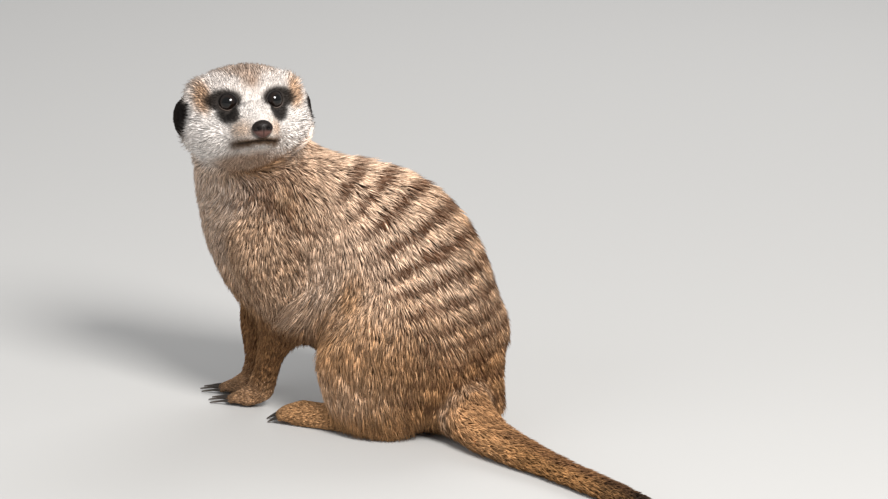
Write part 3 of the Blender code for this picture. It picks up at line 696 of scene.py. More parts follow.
class Marked:
    """What the markings are worked out from, at each vertex."""

    def __init__(self, surface, shares):
        self.places, heads = surface.places, in_head(surface.places)
        self.x, self.y, self.z = self.places.T
        self.left, self.ahead, self.up = heads.T
        self.from_nose_pad = np.linalg.norm((heads - NOSE_CENTRE) / (NOSE_HALF + NOSE_MARGIN), axis=1)
        self.share = {kind: shares[:, index] for index, kind in enumerate(KINDS)}
        self.head = self.share["head"]
        self.mouth = self.head * (1 - ramp(np.abs(self.left), *MOUTH_HALF))
        self.fine, self.coarse, self.broad = (grain(self.places, size, seed) for size, seed in GRAINS)
        self.far, self.angle = round_bend(self.places)
        off_tail, _, along = along_tail(self.places)
        self.tail_end = np.where(off_tail < TAIL_REACH, along, 0)
        self.on_tail = share_of(shares, *TAIL_KINDS)
        self.normals = surface.normals()
        self.fold = fold_of_flank(self.places)
        patchy = mix(0.8, 0.3, ramp(self.x + 6 * self.coarse, 0, 24))
        self.fringe = fringe_of_thigh(surface, shares) * patchy


def patches_of_eyes(at):
    """The dark patches round the eyes, and the rusty ones behind them."""
    dark, temple = np.zeros(len(at.places)), np.zeros(len(at.places))
    in_front, on_temple = ramp(at.ahead, -22, -14), ramp(at.ahead, -34, -18)
    for side in SIDES.values():
        outward, high = at.left * side - EYE_APART / 2, at.up + 0.12 * at.fine
        for middle, half in EYE_PATCH:
            patch = spot(outward + 0.5 * at.fine, high, middle, half, EYE_PATCH_EDGE)
            dark = np.maximum(dark, EYE_PATCH_DARKNESS * patch * in_front * at.head)
        temple = np.maximum(temple, spot(outward, at.up, *TEMPLE_PATCH, TEMPLE_EDGE) * on_temple * at.head)
    return dark, temple


def dark_marks(at, patches, ear, mouth_gap):
    """All that is black: round the eyes, the ears, the mouth, the nose's rim, the toes and the tail's end."""
    mouth = np.exp(-((mouth_gap + 0.4 * at.fine) / MOUTH_SHADE) ** 2) * 0.95 * at.mouth
    rim = 0.8 * (1 - ramp(at.from_nose_pad, *NOSE_RIM)) * at.head
    (middle, height), (half_length, half_height) = EAR_PATCH
    by_ear = np.hypot((at.ahead - middle) / half_length, (at.up - height + 0.5 * at.fine) / half_height)
    by_ear = ramp(np.abs(at.left) - 0.8 * (at.ahead + 15), 21.5, 23.5) * (1 - ramp(by_ear, 0.88, 1.08))
    by_ear = by_ear * np.clip(3 * (at.head + at.share["ear"] + at.share["neck"]), 0, 1)
    toes = [
        TOE_DARKNESS[foot[:4]] * (1 - ramp(gap + at.fine, *TOE_SPAN))
        for foot, gap in from_claws(at.places).items()
    ]
    tail = 0.92 * ramp(at.tail_end + 0.05 * at.coarse, *TAIL_TIP)
    return np.maximum.reduce([ear, patches, mouth, rim, by_ear, *toes, tail])


def markings(surface, shares, ear, mouth_gap):
    """The masks of the coat's colours, painted shade among them, at each vertex, from 0 to 1."""
    at = Marked(surface, shares)
    share, fine, coarse = at.share, at.fine, at.coarse
    patches, temple = patches_of_eyes(at)
    dark = dark_marks(at, patches, ear, mouth_gap)

    # Head, throat and chest, with a painted shadow in brown under the chin.
    crown_edge = np.interp(np.abs(at.left), *CROWN_EDGE)
    crown = ramp(at.up - crown_edge + 1.2 * coarse, -1.5, 3.5) * at.head
    forehead = np.exp(-((at.left / 5.0) ** 2)) * ramp(at.up, 3.0, 8) * (0.85 + 0.3 * fine)
    nape = ramp(-at.ahead + 2 * coarse, 30, 38) * ramp(at.up, -12, -2) * at.head
    grey_head = np.clip(np.maximum(0.35 * crown, nape), 0, 1)
    # Painted shade: the sides of the muzzle are greyed, both sides alike.
    muzzle = blob(np.abs(at.left), at.up, MUZZLE_SHADE_MIDDLE, MUZZLE_SHADE_SPREAD) * ramp(at.ahead, 0, 8)
    # Brown under the chin and down the throat: painted shadow cast by the head.
    chin_shadow = ramp(-at.up - 0.10 * np.abs(at.left) + 1.2 * coarse, 19.5, 25.0) * ramp(at.ahead, -40, -20)
    chin_shadow = chin_shadow * (at.head + share["neck"]) * (1 - ramp(-at.up, 30, 48))
    chin_shadow = chin_shadow * (1 - ramp(np.abs(at.left), 11, 22))
    chest = ramp(-(at.x + 0.9 * at.y) + 4 * coarse, 34, 66) * (share["neck"] + share["trunk"])
    chest = np.clip(chest, 0, 1)
    cheek = ramp(np.abs(at.left), 14, 20) * (1 - ramp(-at.up + 2 * coarse, 24, 32)) * ramp(at.ahead, -38, -26)
    pale = np.maximum.reduce([
        # Less pale at the rusty temples, and greyed by painted shade on the muzzle.
        np.clip(at.head * (1 - grey_head) - 0.8 * temple - 0.8 * muzzle, 0, 1),
        0.6 * cheek * share["neck"],
        0.42 * chest * (1 - chin_shadow),
        0.22 * at.fold,
        0.05 * at.fringe,
    ])

    # Brown coat of the crown, forehead, mouth, shoulder and tail, and painted shade in brown under the chin,
    # on the chest, on the front of the trunk and neck, and on the forelegs and elbows.
    # The brown and the dark strands on the forelegs and on the elbows below the body are painted shade; their
    # own tan is in the warm mask.
    fore = np.clip(share["forearm"] + 0.6 * share["forepaw"] + 0.5 * share["upper_arm"], 0, 1)
    elbow_shade = share["trunk"] * (1 - ramp(at.z, 40, 62)) * (1 - ramp(at.x, -30, -12))
    fore = np.maximum(fore, elbow_shade)
    shoulder = blob(at.x, at.z, SHOULDER_MIDDLE, SHOULDER_SPREAD) * (share["trunk"] + share["neck"])
    ticks = ramp(fine + 0.5 * coarse, 0.10, 0.50)
    brown = np.maximum.reduce([
        # Painted shadow under the chin.
        0.75 * chin_shadow,
        # Painted shade on the chest.
        0.15 * chest * (1 - at.head),
        # Painted shade on the forelegs and elbows.
        0.88 * fore,
        0.7 * shoulder,
        0.95 * ramp(at.tail_end, 0.10, 0.36),
        crown * (0.42 + 0.25 * ticks),
        # Painted shade on the front of the trunk and neck, away from the key light.
        0.30 * (share["trunk"] + share["neck"]) * (1 - ramp(at.x, -44, -8)),
        0.6 * forehead * at.head,
        0.13 * at.head * ramp(at.up, -2, 4),
        0.9 * at.mouth * (1 - ramp(mouth_gap + 0.6 * fine, 0.8, 2.6)),
    ]) * (1 - 0.9 * at.fold)

    # Stripes round the back, and ticks and dark strands elsewhere.
    turns = np.interp(at.angle, STRIPE_ANGLES, range(len(STRIPE_ANGLES))) + 0.10 * coarse
    bands = ramp(np.cos(2 * math.pi * turns), -0.1, 0.4)
    back = ramp(at.far, *STRIPE_REACH) * (1 - 0.9 * ramp(at.angle, 48, 68)) * ramp(at.angle, -20, -6)
    back = back * np.clip(share["trunk"] + share["thigh"], 0, 1)
    stripe = bands * back * np.clip(1.1 + 0.8 * fine, 0, 1) * mix(0.85, 1, ramp(at.angle, 5, 25))
    thigh = share["thigh"] * ramp(at.z, 20, 60)
    grizzle = share["trunk"] * (1 - back) + share["upper_arm"] + 0.8 * share["neck"] + 0.6 * thigh
    stripe = np.maximum(stripe, 0.8 * ticks * np.clip(grizzle, 0, 1) * (1 - chest * 0.7))
    stripe = np.maximum(stripe, 1.0 * shoulder * ramp(coarse + 0.6 * fine, -0.5, 0.15)) * (1 - 0.8 * at.fold)
    above = ramp(at.normals[:, 2] + 0.5 * at.normals[:, 0], 0.2, 0.9) * ramp(at.tail_end, 0.04, 0.12)
    above = above * mix(0.35, 0.75, ramp(at.tail_end + 0.05 * coarse, 0.15, 0.4))
    # The dark strands on the forelegs and elbows are painted shade.
    stripe = np.maximum.reduce([stripe, above, 0.42 * forehead * at.head, 0.10 * crown, 0.40 * fore])

    # Warm coat low on the body, on the legs, the tail, the spine and the temples.
    low = 1 - ramp(at.z + 5 * coarse, 30, 88)
    legs = share["thigh"] + share["shank"] + share["hindfoot"] + share["trunk"]
    warm = low * legs + share["hindfoot"] * 0.8 + share["forearm"] * 0.75 + share["forepaw"] * 0.6
    warm = np.clip(warm, 0, 1) * (1 - 0.4 * at.fringe)
    spine = ramp(at.far, 112, 134) * back
    rust = blob(at.x, at.z, RUST_MIDDLE, RUST_SPREAD) * (1 - ramp(at.y, -8, 4))
    warm = np.maximum.reduce([warm, at.on_tail, 0.55 * at.fold, 0.55 * spine, 0.9 * rust, temple])
    warm = np.clip(warm + 0.12 * at.broad, 0, 1)
    return {"Warm": warm, "Pale": pale, "Brown_and_shade": brown, "Stripe": stripe, "Dark": dark}


def share_of_face(heads):
    """1 on the face, where its form has to be kept, and 0 away from it."""
    return np.exp(-(np.linalg.norm(heads - FACE_MIDDLE, axis=1) / FACE_SPREAD) ** 4)


def made_skin(voxel):
    """The skin's mesh with the coat's sizes, lie and markings at each vertex."""
    mesh = outer_island(fused_flesh(voxel))
    surface = Surface(mesh)
    heads = in_head(surface.places)
    face = share_of_face(heads)
    low = 1 - ramp(surface.places[:, 2], 14, 26)
    thin = ramp(np.abs(heads[:, 0]), 26, 29) * ramp(-heads[:, 1], 14, 20) * ramp(heads[:, 2], -18, -15)
    toes = 1 - ramp(from_nearest_claw(surface.places), 12, 19)
    free = np.clip(1 - 0.8 * face - 0.75 * low - 0.8 * thin, 0.1, 1) * mix(0.7, 0.012, toes)
    surface.relax(np.maximum(free, bridge_of_nose(heads)), RELAX_ROUNDS)
    with_places(mesh, surface.places)
    mesh = refined_face(mesh)
    surface = Surface(mesh)
    surface.relax(0.7 * share_of_face(in_head(surface.places)), FACE_RELAX_ROUNDS)
    shares, nearest = label_shares(surface)
    depth = coat_sizes(surface, shares)[0]
    surface.places -= surface.normals() * (depth + INFLATE)[:, None]
    surface.places[:, 2] = np.maximum(surface.places[:, 2], SKIN_FLOOR)
    toes = 1 - ramp(from_nearest_claw(surface.places), 10, 17)
    surface.relax(0.4 * (1 - 0.9 * toes), 2)
    mouth_gap = cut_mouth(surface)
    fit_round_eyes(surface)
    with_places(mesh, surface.places)
    ear = np.char.startswith(np.array(FLESH)[nearest], "ear").astype(float)
    ear = np.clip(1.6 * surface.spread(ear[:, None], 4)[:, 0], 0, 1)
    for name, values in markings(surface, shares, ear, mouth_gap).items():
        store(mesh, name, values)
    for name, values in zip(SIZE_NAMES, (*coat_sizes(surface, shares), loft_of_coat(surface, shares))):
        store(mesh, name, values)
    store(mesh, "Lie", lie_of_coat(surface, shares))
    store(mesh, "Nearest", nearest.astype(float))
    store(mesh, "Tint", 0.5 + 0.5 * grain(surface.places, 2.0, 7))
    store(mesh, "Along", np.full(len(surface.places), 0.25))
    return mesh


# ---- the coat --------------------------------------------------------------------------------------------

FACE_BACK = -16  # where the face ends and the crown begins, ahead of the middle of the face
RUMP_TO, BACK_TO = 22, 62  # angles round the bend of the back
MIDLINE = ((-70, 70), (22, -22))  # x, and y there
UNWRAP_ANGLE, UNWRAP_MARGIN = math.radians(66), 0.006
CLEAR_OF_EYE, CLEAR_OF_OPENING = 4.0, 5  # no tuft is nearer to an eyeball and inside so many degrees
TUFT_PATCH = 0.003  # how wide a tuft is on the map for baking
ROOT_DEPTH = 0.35  # how deep a tuft's root is set in the skin
FLOOR_GAP = 0.12
TUFT_FACES = ((0, 1, 4, 3), (1, 2, 5, 4), (2, 0, 3, 5), (3, 4, 6), (4, 5, 6), (5, 3, 6), (2, 1, 0))
TUFT_UV = (
    *([(k / 3, 0), ((k + 1) / 3, 0), ((k + 1) / 3, 0.5), (k / 3, 0.5)] for k in range(3)),
    *([(k / 3, 0.5), ((k + 1) / 3, 0.5), ((k + 0.5) / 3, 1)] for k in range(3)),
    [(0.6, 0), (0.3, 0), (0, 0)],
)
TUFT_SECTION = ((-1.0, 0.0), (0.0, 0.75), (1.0, 0.0))  # sideways and out of the skin, in half widths
TUFT_ALONG = (0.0, 0.0, 0.0, 0.5, 0.5, 0.5, 1.0)
SEEN_PART = 0.45  # where between its middle and its tip a tuft takes its colours from the skin below
# Tufts in a lock, and how much their tips are drawn together, by the first word of a piece's name.
LOCKS = {
    "crown": (6, 0.3), "neck": (11, 0.5), "back": (11, 0.5), "chest": (11, 0.55), "rump": (11, 0.5),
    "thigh": (12, 0.6), "foreleg": (8, 0.35), "hindleg": (8, 0.3), "tail": (8, 0.4),
}
LOCK_REACH = 6.0  # how far a tuft may stand from the leader of its lock
LOCK_MIDDLE = 0.55  # how much the middle of a tuft is drawn to its lock, beside its tip
LOCK_OWN = 0.4  # how much of its own shape the tip keeps
LOCK_LIKENESS = 0.6  # the least cosine between the skin's normals at a tuft and at its leader
STAND = (0.5, 1.1)  # how high the tips of tufts stand, in depths of the coat
LOFT_STAND, MIDDLE_STAND = 0.7, 0.62  # how much higher with loft, and how high the middle is beside the tip
LENGTH_SPREAD, WIDTH_SPREAD = (0.7, 1.2), (0.75, 1.25)  # least and most, times what the place asks for
ROOT_WANDER, MIDDLE_WANDER = 0.16, 0.10  # how far a tuft turns from the lie of the coat
MIDDLE_LOFT, STRAIGHTNESS = 0.6, 0.5
ROOT_WIDTH = 0.85  # beside its width in the middle
SKIN_BELOW = 0.9  # how much a tuft of the head is coloured by the skin below it rather than at its root
ROOT_COLOUR, MASK_SPREAD = 0.5, 1.6
TINT, TINT_SPREAD, LOCK_TINT = 0.55, 0.2, 0.45
DARK_TUFTS, DARKER = 0.22, 0.42  # the share of dark tufts, and by how much


def coat_region(names, heads, places):
    """The coat piece that each vertex belongs to, by the solid nearest to it."""
    angle = round_bend(places)[1]
    near_side = places[:, 1] < np.interp(places[:, 0], *MIDLINE)
    regions = []
    for name, head, turn, near in zip(names, heads, angle, near_side):
        kind = next(kind for kind in KINDS if name.startswith(kind))
        if kind in ("head", "ear"):
            regions.append("face" if head[1] > FACE_BACK else "crown")
        elif kind == "trunk":
            place = "rump" if turn < RUMP_TO else "back" if turn < BACK_TO else "chest"
            regions.append(f"{place}_{'left' if near else 'right'}")
        elif kind in MIDDLE_KINDS:
            regions.append(kind.split("_")[0])
        else:
            part = {"thigh": "thigh", "shank": "hindleg", "hindfoot": "hindleg"}.get(kind, "foreleg")
            regions.append(f"{part}_{name.rsplit('_', 1)[1]}")
    return np.array(regions)


def unwrapped(surface, triangles, name):
    """Corners of these triangles on an unwrap of the skin there: an array of triangles, corners and u, v."""
    used, corners = np.unique(triangles, return_inverse=True)
    mesh = bpy.data.meshes.new(name)
    mesh.from_pydata(to_model(surface.places[used]).tolist(), [], corners.reshape(-1, 3).tolist())
    made = link(name, mesh)
    mesh.uv_layers.new(name="Unwrap")
    bpy.ops.object.select_all(action="DESELECT")
    bpy.context.view_layer.objects.active = made
    made.select_set(True)
    bpy.ops.object.mode_set(mode="EDIT")
    bpy.ops.mesh.select_all(action="SELECT")
    bpy.ops.uv.smart_project(angle_limit=UNWRAP_ANGLE, island_margin=UNWRAP_MARGIN)
    bpy.ops.object.mode_set(mode="OBJECT")
    found = np.empty(len(mesh.loops) * 2, np.float32)
    mesh.uv_layers["Unwrap"].data.foreach_get("uv", found)
    bpy.data.objects.remove(made)
    return found.reshape(-1, 3, 2).astype(float)


def on_skin(tree, points, normals, triangles):
    """The nearest places of the skin, and its smooth normals there."""
    places, found = np.empty_like(points), np.empty(len(points), int)
    for index, point in enumerate(points.tolist()):
        place, _, face, _ = tree.find_nearest(point)
        places[index], found[index] = place, face
    return places, unit(normals[triangles[found]].mean(axis=1)), triangles[found]


def kept_clear(surface, triangles):
    """False for triangles on an eye, its lids or the nose, where no tuft grows."""
    heads = in_head(surface.places[triangles].mean(axis=1))
    clear = np.linalg.norm((heads - NOSE_CENTRE) / (NOSE_HALF + NOSE_MARGIN), axis=1) > 1
    for side in SIDES.values():
        _, far, outside = round_eye(heads, side)
        clear &= (far > eye_radius() + CLEAR_OF_EYE) | (outside > CLEAR_OF_OPENING)
    return clear


def tuft_mesh(name, points, uvs, masks, tints):
    """A mesh of tufts from their seven points each, with masks, tints and the map for baking."""
    count = len(points)
    corners = np.array([corner for face in TUFT_FACES for corner in face])
    sizes = np.array([len(face) for face in TUFT_FACES])
    mesh = bpy.data.meshes.new(name)
    mesh.vertices.add(count * 7)
    mesh.vertices.foreach_set("co", to_model(points.reshape(-1, 3)).astype(np.float32).ravel())
    mesh.loops.add(count * len(corners))
    vertices = (np.arange(count)[:, None] * 7 + corners).astype(np.int32)
    mesh.loops.foreach_set("vertex_index", vertices.ravel())
    mesh.polygons.add(count * len(sizes))
    starts = np.concatenate([[0], np.cumsum(sizes)[:-1]])
    starts = (np.arange(count)[:, None] * len(corners) + starts).astype(np.int32)
    mesh.polygons.foreach_set("loop_start", starts.ravel())
    mesh.update(calc_edges=True)
    patch = (np.array([place for face in TUFT_UV for place in face]) - 0.5) * TUFT_PATCH
    layer = mesh.uv_layers.new(name="OFBake")
    layer.data.foreach_set("uv", (uvs[:, None, :] + patch).astype(np.float32).ravel())
    for mask, values in masks.items():
        store(mesh, mask, values.ravel())
    store(mesh, "Tint", np.repeat(tints, 7))
    store(mesh, "Along", np.tile(TUFT_ALONG, count))
    return mesh


def locks(region, roots, outward):
    """For each tuft, the tuft that leads its lock and how much it is drawn to it."""
    size, strength = LOCKS.get(region.split("_")[0], (1, 0.0))
    count = max(1, len(roots) // size)
    tree = KDTree(count)
    for index, root in enumerate(roots[:count].tolist()):
        tree.insert(root, index)
    tree.balance()
    found = [tree.find(root) for root in roots.tolist()]
    leader = np.array([index for _, index, _ in found])
    near = np.array([gap for _, _, gap in found]) < LOCK_REACH
    near &= row_dot(outward, outward[leader])[:, 0] > LOCK_LIKENESS
    return np.where(near, leader, np.arange(len(roots))), strength * near[:, None]


def coat_of(skin, surface, normals, tree, region, triangles, count, seed):
    """The mesh of one coat piece: so many tufts rooted in these triangles of the skin."""
    rng = np.random.default_rng(seed)
    unwrap = unwrapped(surface, triangles, f"{region} unwrap")
    chances = surface.areas(triangles) * skin["Density"][triangles].mean(axis=1)
    chances = chances * kept_clear(surface, triangles)
    chosen = rng.choice(len(triangles), count, p=chances / chances.sum())
    first, second = rng.random(count), rng.random(count)
    flip = first + second > 1
    first[flip], second[flip] = 1 - first[flip], 1 - second[flip]
    weights = np.stack([1 - first - second, first, second], axis=1)

    def at_root(values):
        return np.einsum("ij,ij...->i...", weights, values[triangles[chosen]])

    roots, outward = at_root(surface.places), unit(at_root(normals))
    uvs = np.einsum("ij,ijk->ik", weights, unwrap[chosen])
    length = at_root(skin["Length"]) * rng.uniform(*LENGTH_SPREAD, count)
    width = at_root(skin["Width"]) * rng.uniform(*WIDTH_SPREAD, count)
    depth = at_root(skin["Depth"])
    lie = unit(at_root(skin["Lie"]) + ROOT_WANDER * rng.standard_normal((count, 3)))
    lie = unit(lie - outward * row_dot(lie, outward))
    straight = roots + lie * length[:, None] * 0.5
    middle, middle_out, under = on_skin(tree, straight, normals, surface.triangles)
    loft = at_root(skin["Loft"])[:, None]
    middle = mix(middle, straight, loft * MIDDLE_LOFT)
    onward = lie - middle_out * row_dot(lie, middle_out)
    onward = unit(onward + MIDDLE_WANDER * rng.standard_normal((count, 3)))
    straight = mix(middle + onward * length[:, None] * 0.5, roots + lie * length[:, None], STRAIGHTNESS)
    tip, tip_out, beneath = on_skin(tree, straight, normals, surface.triangles)
    seen = on_skin(tree, mix(middle, tip, SEEN_PART), normals, surface.triangles)[2]
    tip = mix(tip, straight, loft)
    stand = depth * rng.uniform(*STAND, count) * (1 + LOFT_STAND * loft[:, 0])
    middle = middle + middle_out * (stand * MIDDLE_STAND)[:, None]
    tip = tip + tip_out * stand[:, None]
    leader, pull = locks(region, roots, outward)
    middle = middle + (roots[leader] - roots) * LOCK_MIDDLE * pull
    tip = mix(tip, mix(tip[leader], tip + roots[leader] - roots, LOCK_OWN), pull)
    across, beyond = unit(np.cross(outward, lie)), unit(np.cross(middle_out, onward))
    points = np.empty((count, 7, 3))
    for index, (aside, out) in enumerate(TUFT_SECTION):
        half = width[:, None] / 2
        points[:, index] = roots - outward * ROOT_DEPTH + (across * aside + outward * out) * half * ROOT_WIDTH
        points[:, index + 3] = middle + (beyond * aside + middle_out * out) * half
    points[:, 6] = tip
    points[:, :, 2] = np.maximum(points[:, :, 2], FLOOR_GAP)
    masks = {}
    for mask in MASKS:
        root = at_root(skin[mask])
        if region in ("face", "crown"):
            low, high = skin[mask][under].mean(axis=1), skin[mask][beneath].mean(axis=1)
            middles, end = mix(root, low, SKIN_BELOW), mix(low, high, SKIN_BELOW)
            masks[mask] = np.stack([root] * 3 + [middles] * 3 + [end], axis=1)
            continue
        values = skin[mask][seen].mean(axis=1)
        values = values + MASK_SPREAD * (rng.random(count) - 0.5) * values * (1 - values)
        masks[mask] = np.stack([mix(root, values, ROOT_COLOUR)] * 3 + [values] * 4, axis=1)
    tints = np.clip(rng.normal(TINT, TINT_SPREAD, count) - DARKER * (rng.random(count) < DARK_TUFTS), 0, 1)
    tints = mix(tints, tints[leader], LOCK_TINT * pull[:, 0])
    return tuft_mesh(f"coat_{region}", points, uvs, masks, tints)


# ---- materials -------------------------------------------------------------------------------------------


def node(tree, kind, place, **settings):
    made = tree.nodes.new(kind)
    made.location = place
    for name, value in settings.items():
        setattr(made, name, value)
    return made


def attribute(tree, name, place):
    return node(tree, "ShaderNodeAttribute", place, attribute_name=name, label=name).outputs["Fac"]


def feed(tree, sockets, values):
    """Links each socket to a value that is a socket too, or sets it to one that is a number or a colour."""
    for socket, value in zip(sockets, values):
        if isinstance(value, bpy.types.NodeSocket):
            tree.links.new(value, socket)
        else:
            socket.default_value = (*value, 1) if isinstance(value, tuple) else value


def blended(tree, a, b, share, place):
    """A colour mix node's result. Each input is a socket or a plain colour."""
    made = node(tree, "ShaderNodeMix", place, data_type="RGBA")
    feed(tree, (made.inputs[0], made.inputs[6], made.inputs[7]), (share, a, b))
    return made.outputs[2]


def spanned(tree, value, low, high, place, least=0.0, most=1.0):
    """A value from low to high carried over to a span from least to most."""
    made = node(tree, "ShaderNodeMapRange", place)
    made.interpolation_type = "SMOOTHSTEP"
    tree.links.new(value, made.inputs["Value"])
    limits = {"From Min": low, "From Max": high, "To Min": least, "To Max": most}
    for name, limit in limits.items():
        made.inputs[name].default_value = limit
    return made.outputs["Result"]


def timesed(tree, a, b, place):
    made = node(tree, "ShaderNodeMath", place, operation="MULTIPLY")
    feed(tree, made.inputs, (a, b))
    return made.outputs[0]


def eased(tree, a, b, share, place):
    """A value mix node's result: from a to b by a share."""
    made = node(tree, "ShaderNodeMix", place, data_type="FLOAT")
    feed(tree, (made.inputs[0], made.inputs[2], made.inputs[3]), (share, a, b))
    return made.outputs[0]


def patterned(tree, kind, scale, place, **settings):
    """A texture node laid out on the piece's own coordinates."""
    where = node(tree, "ShaderNodeTexCoord", (place[0] - 200, place[1])).outputs["Object"]
    made = node(tree, kind, place)
    tree.links.new(where, made.inputs["Vector"])
    for name, value in {"Scale": scale, **settings}.items():
        made.inputs[name].default_value = value
    return made


def markings_group():
    """The coat's colours with the painted shade among them, shared by the skin and every piece of coat."""
    name = "Meerkat markings"
    if name in bpy.data.node_groups:
        return bpy.data.node_groups[name]
    tree = bpy.data.node_groups.new(name, "ShaderNodeTree")
    tree.interface.new_socket("Color", in_out="OUTPUT", socket_type="NodeSocketColor")
    tree.interface.new_socket("Height", in_out="OUTPUT", socket_type="NodeSocketFloat")
    masks = {mask: attribute(tree, mask, (-900, 300 - 180 * i)) for i, mask in enumerate(MASKS)}
    along, tint = attribute(tree, "Along", (-900, -700)), attribute(tree, "Tint", (-900, -880))
    mottle = patterned(tree, "ShaderNodeTexNoise", 260, (-900, 700), Detail=3)
    colour = blended(tree, COLOURS["grey"], COLOURS["warm"], masks["Warm"], (-600, 500))
    colour = blended(tree, colour, COLOURS["pale"], masks["Pale"], (-420, 460))
    colour = blended(tree, colour, COLOURS["brown"], masks["Brown_and_shade"], (-240, 420))
    shaded = node(tree, "ShaderNodeHueSaturation", (120, 200))
    tips = spanned(tree, along, 0.0, 0.8, (-600, -500), 0.55, 1.15)
    tinted = spanned(tree, tint, 0.0, 1.0, (-600, -760), 0.40, 1.40)
    even = timesed(tree, masks["Pale"], 0.55, (-600, -900))
    tinted = eased(tree, tinted, 1.0, even, (-500, -820))
    mottled = spanned(tree, mottle.outputs["Fac"], 0.3, 0.7, (-600, 760), 0.88, 1.12)
    value = timesed(tree, timesed(tree, tips, tinted, (-400, -560)), mottled, (-220, -480))
    tree.links.new(value, shaded.inputs["Value"])
    tree.links.new(colour, shaded.inputs["Color"])
    faded = spanned(tree, tint, 0.35, 0.85, (-600, -1000), 1.0, 0.72)
    banded = timesed(tree, masks["Stripe"], faded, (-200, -900))
    colour = blended(tree, shaded.outputs["Color"], COLOURS["stripe"], banded, (320, 240))
    colour = blended(tree, colour, COLOURS["dark"], masks["Dark"], (500, 200))
    out = node(tree, "NodeGroupOutput", (720, 0))
    tree.links.new(colour, out.inputs["Color"])
    tree.links.new(mottle.outputs["Fac"], out.inputs["Height"])
    return tree


def plain_material(name, roughness, specular):
    material = bpy.data.materials.new(name)
    material.use_nodes = True
    shader = material.node_tree.nodes["Principled BSDF"]
    shader.inputs["Roughness"].default_value = roughness
    shader.inputs["Specular IOR Level"].default_value = specular
    return material, material.node_tree, shader


def bumped(tree, shader, height, strength, distance):
    bump = node(tree, "ShaderNodeBump", (-200, -300))
    bump.inputs["Strength"].default_value = strength
    bump.inputs["Distance"].default_value = distance
    tree.links.new(height, bump.inputs["Height"])
    tree.links.new(bump.outputs["Normal"], shader.inputs["Normal"])


def coat_material():
    """Fur: the markings, nearly without gloss."""
    material, tree, shader = plain_material("Meerkat coat", 0.7, 0.08)
    group = node(tree, "ShaderNodeGroup", (-400, 0), node_tree=markings_group())
    tree.links.new(group.outputs["Color"], shader.inputs["Base Color"])
    return material


def skin_material():
    """Skin seen between the tufts: the same markings with a fine nap."""
    material, tree, shader = plain_material("Meerkat skin", 0.85, 0.08)
    group = node(tree, "ShaderNodeGroup", (-700, 0), node_tree=markings_group())
    tree.links.new(group.outputs["Color"], shader.inputs["Base Color"])
    nap = patterned(tree, "ShaderNodeTexNoise", 2200, (-700, -300))
    bumped(tree, shader, nap.outputs["Fac"], 0.5, 0.0004)
    return material


def eye_material():
    """A wet eye: black pupil, dark brown iris and a darker rim, from the distance to the eye's middle."""
    material, tree, shader = plain_material("Meerkat eye", 0.06, 0.42)
    rings = node(tree, "ShaderNodeValToRGB", (-400, 0))
    elements = rings.color_ramp.elements
    elements[0].color, elements[1].color = (*EYE_RINGS[0][1], 1), (*EYE_RINGS[-1][1], 1)
    for place, colour in EYE_RINGS[1:-1]:
        elements.new(place).color = (*colour, 1)
    tree.links.new(attribute(tree, "Middle", (-600, 0)), rings.inputs["Fac"])
    tree.links.new(rings.outputs["Color"], shader.inputs["Base Color"])
    return material


def lid_material():
    material, tree, shader = plain_material("Meerkat lid", 0.6, 0.2)
    folds = patterned(tree, "ShaderNodeTexNoise", 1500, (-700, -300))
    # The lower rim of the lids is lightened: a painted catch light.
    edge = attribute(tree, "Catchlight", (-700, 100))
    colour = blended(tree, COLOURS["lid"], COLOURS["lid_catchlight"], edge, (-400, 100))
    tree.links.new(colour, shader.inputs["Base Color"])
    bumped(tree, shader, folds.outputs["Fac"], 0.4, 0.0003)
    return material


def nose_material():
    """Moist skin: nearly black above, pinkish brown below, and darker still in the nostrils and slits as
    painted shade, with a fine cobbled grain.
    """
    material, tree, shader = plain_material("Meerkat nose", 0.46, 0.22)
    cobbles = patterned(tree, "ShaderNodeTexVoronoi", 1900, (-700, -300))
    pink, nostril = attribute(tree, "Pink", (-700, 100)), attribute(tree, "Nostril_shade", (-700, 280))
    colour = blended(tree, COLOURS["nose"], COLOURS["nose_pink"], pink, (-400, 100))
    colour = blended(tree, colour, COLOURS["nostril"], nostril, (-200, 100))
    tree.links.new(colour, shader.inputs["Base Color"])
    bumped(tree, shader, cobbles.outputs["Distance"], 0.35, 0.0003)
    return material


def claw_material():
    """Horn: dark at the root, greyer towards the tip, with fine lengthwise streaks."""
    material, tree, shader = plain_material("Meerkat claw", 0.38, 0.45)
    streaks = patterned(tree, "ShaderNodeTexNoise", 1400, (-700, 0))
    tip = attribute(tree, "Tip", (-700, 200))
    streaky = spanned(tree, streaks.outputs["Fac"], 0.45, 0.75, (-500, 0), 0.0, 0.5)
    colour = blended(tree, COLOURS["claw"], COLOURS["claw_tip"], tip, (-500, 200))
    colour = blended(tree, colour, COLOURS["claw"], streaky, (-300, 100))
    tree.links.new(colour, shader.inputs["Base Color"])
    bumped(tree, shader, streaks.outputs["Fac"], 0.25, 0.0002)
    return material


# ---- operators -------------------------------------------------------------------------------------------


class MeerkatSettings(bpy.types.PropertyGroup):
    """Sizes that may be changed before the pieces are made."""

    grid: FloatProperty(
        name="Skin grid", description="Width of the skin's faces before the face is refined",
        default=1.2 * MM, min=0.0008, max=0.003, subtype="DISTANCE", unit="LENGTH", precision=4,
    )
    tufts: IntProperty(
        name="Tufts", description="Number of tufts in the whole coat", default=140000, min=1000, max=150000,
    )
    seed: IntProperty(name="Seed", description="Seed of everything placed at random", default=7)


class MEERKAT_OT_skin(bpy.types.Operator):
    """Makes the skin under the coat, in one piece"""

    bl_idname = "meerkat.skin"
    bl_label = "Skin"

    def execute(self, context):
        mesh = made_skin(context.scene.meerkat.grid)
        keep(link("skin", mesh), "coat_body", skin_material(), *FLESH)
        return {"FINISHED"}


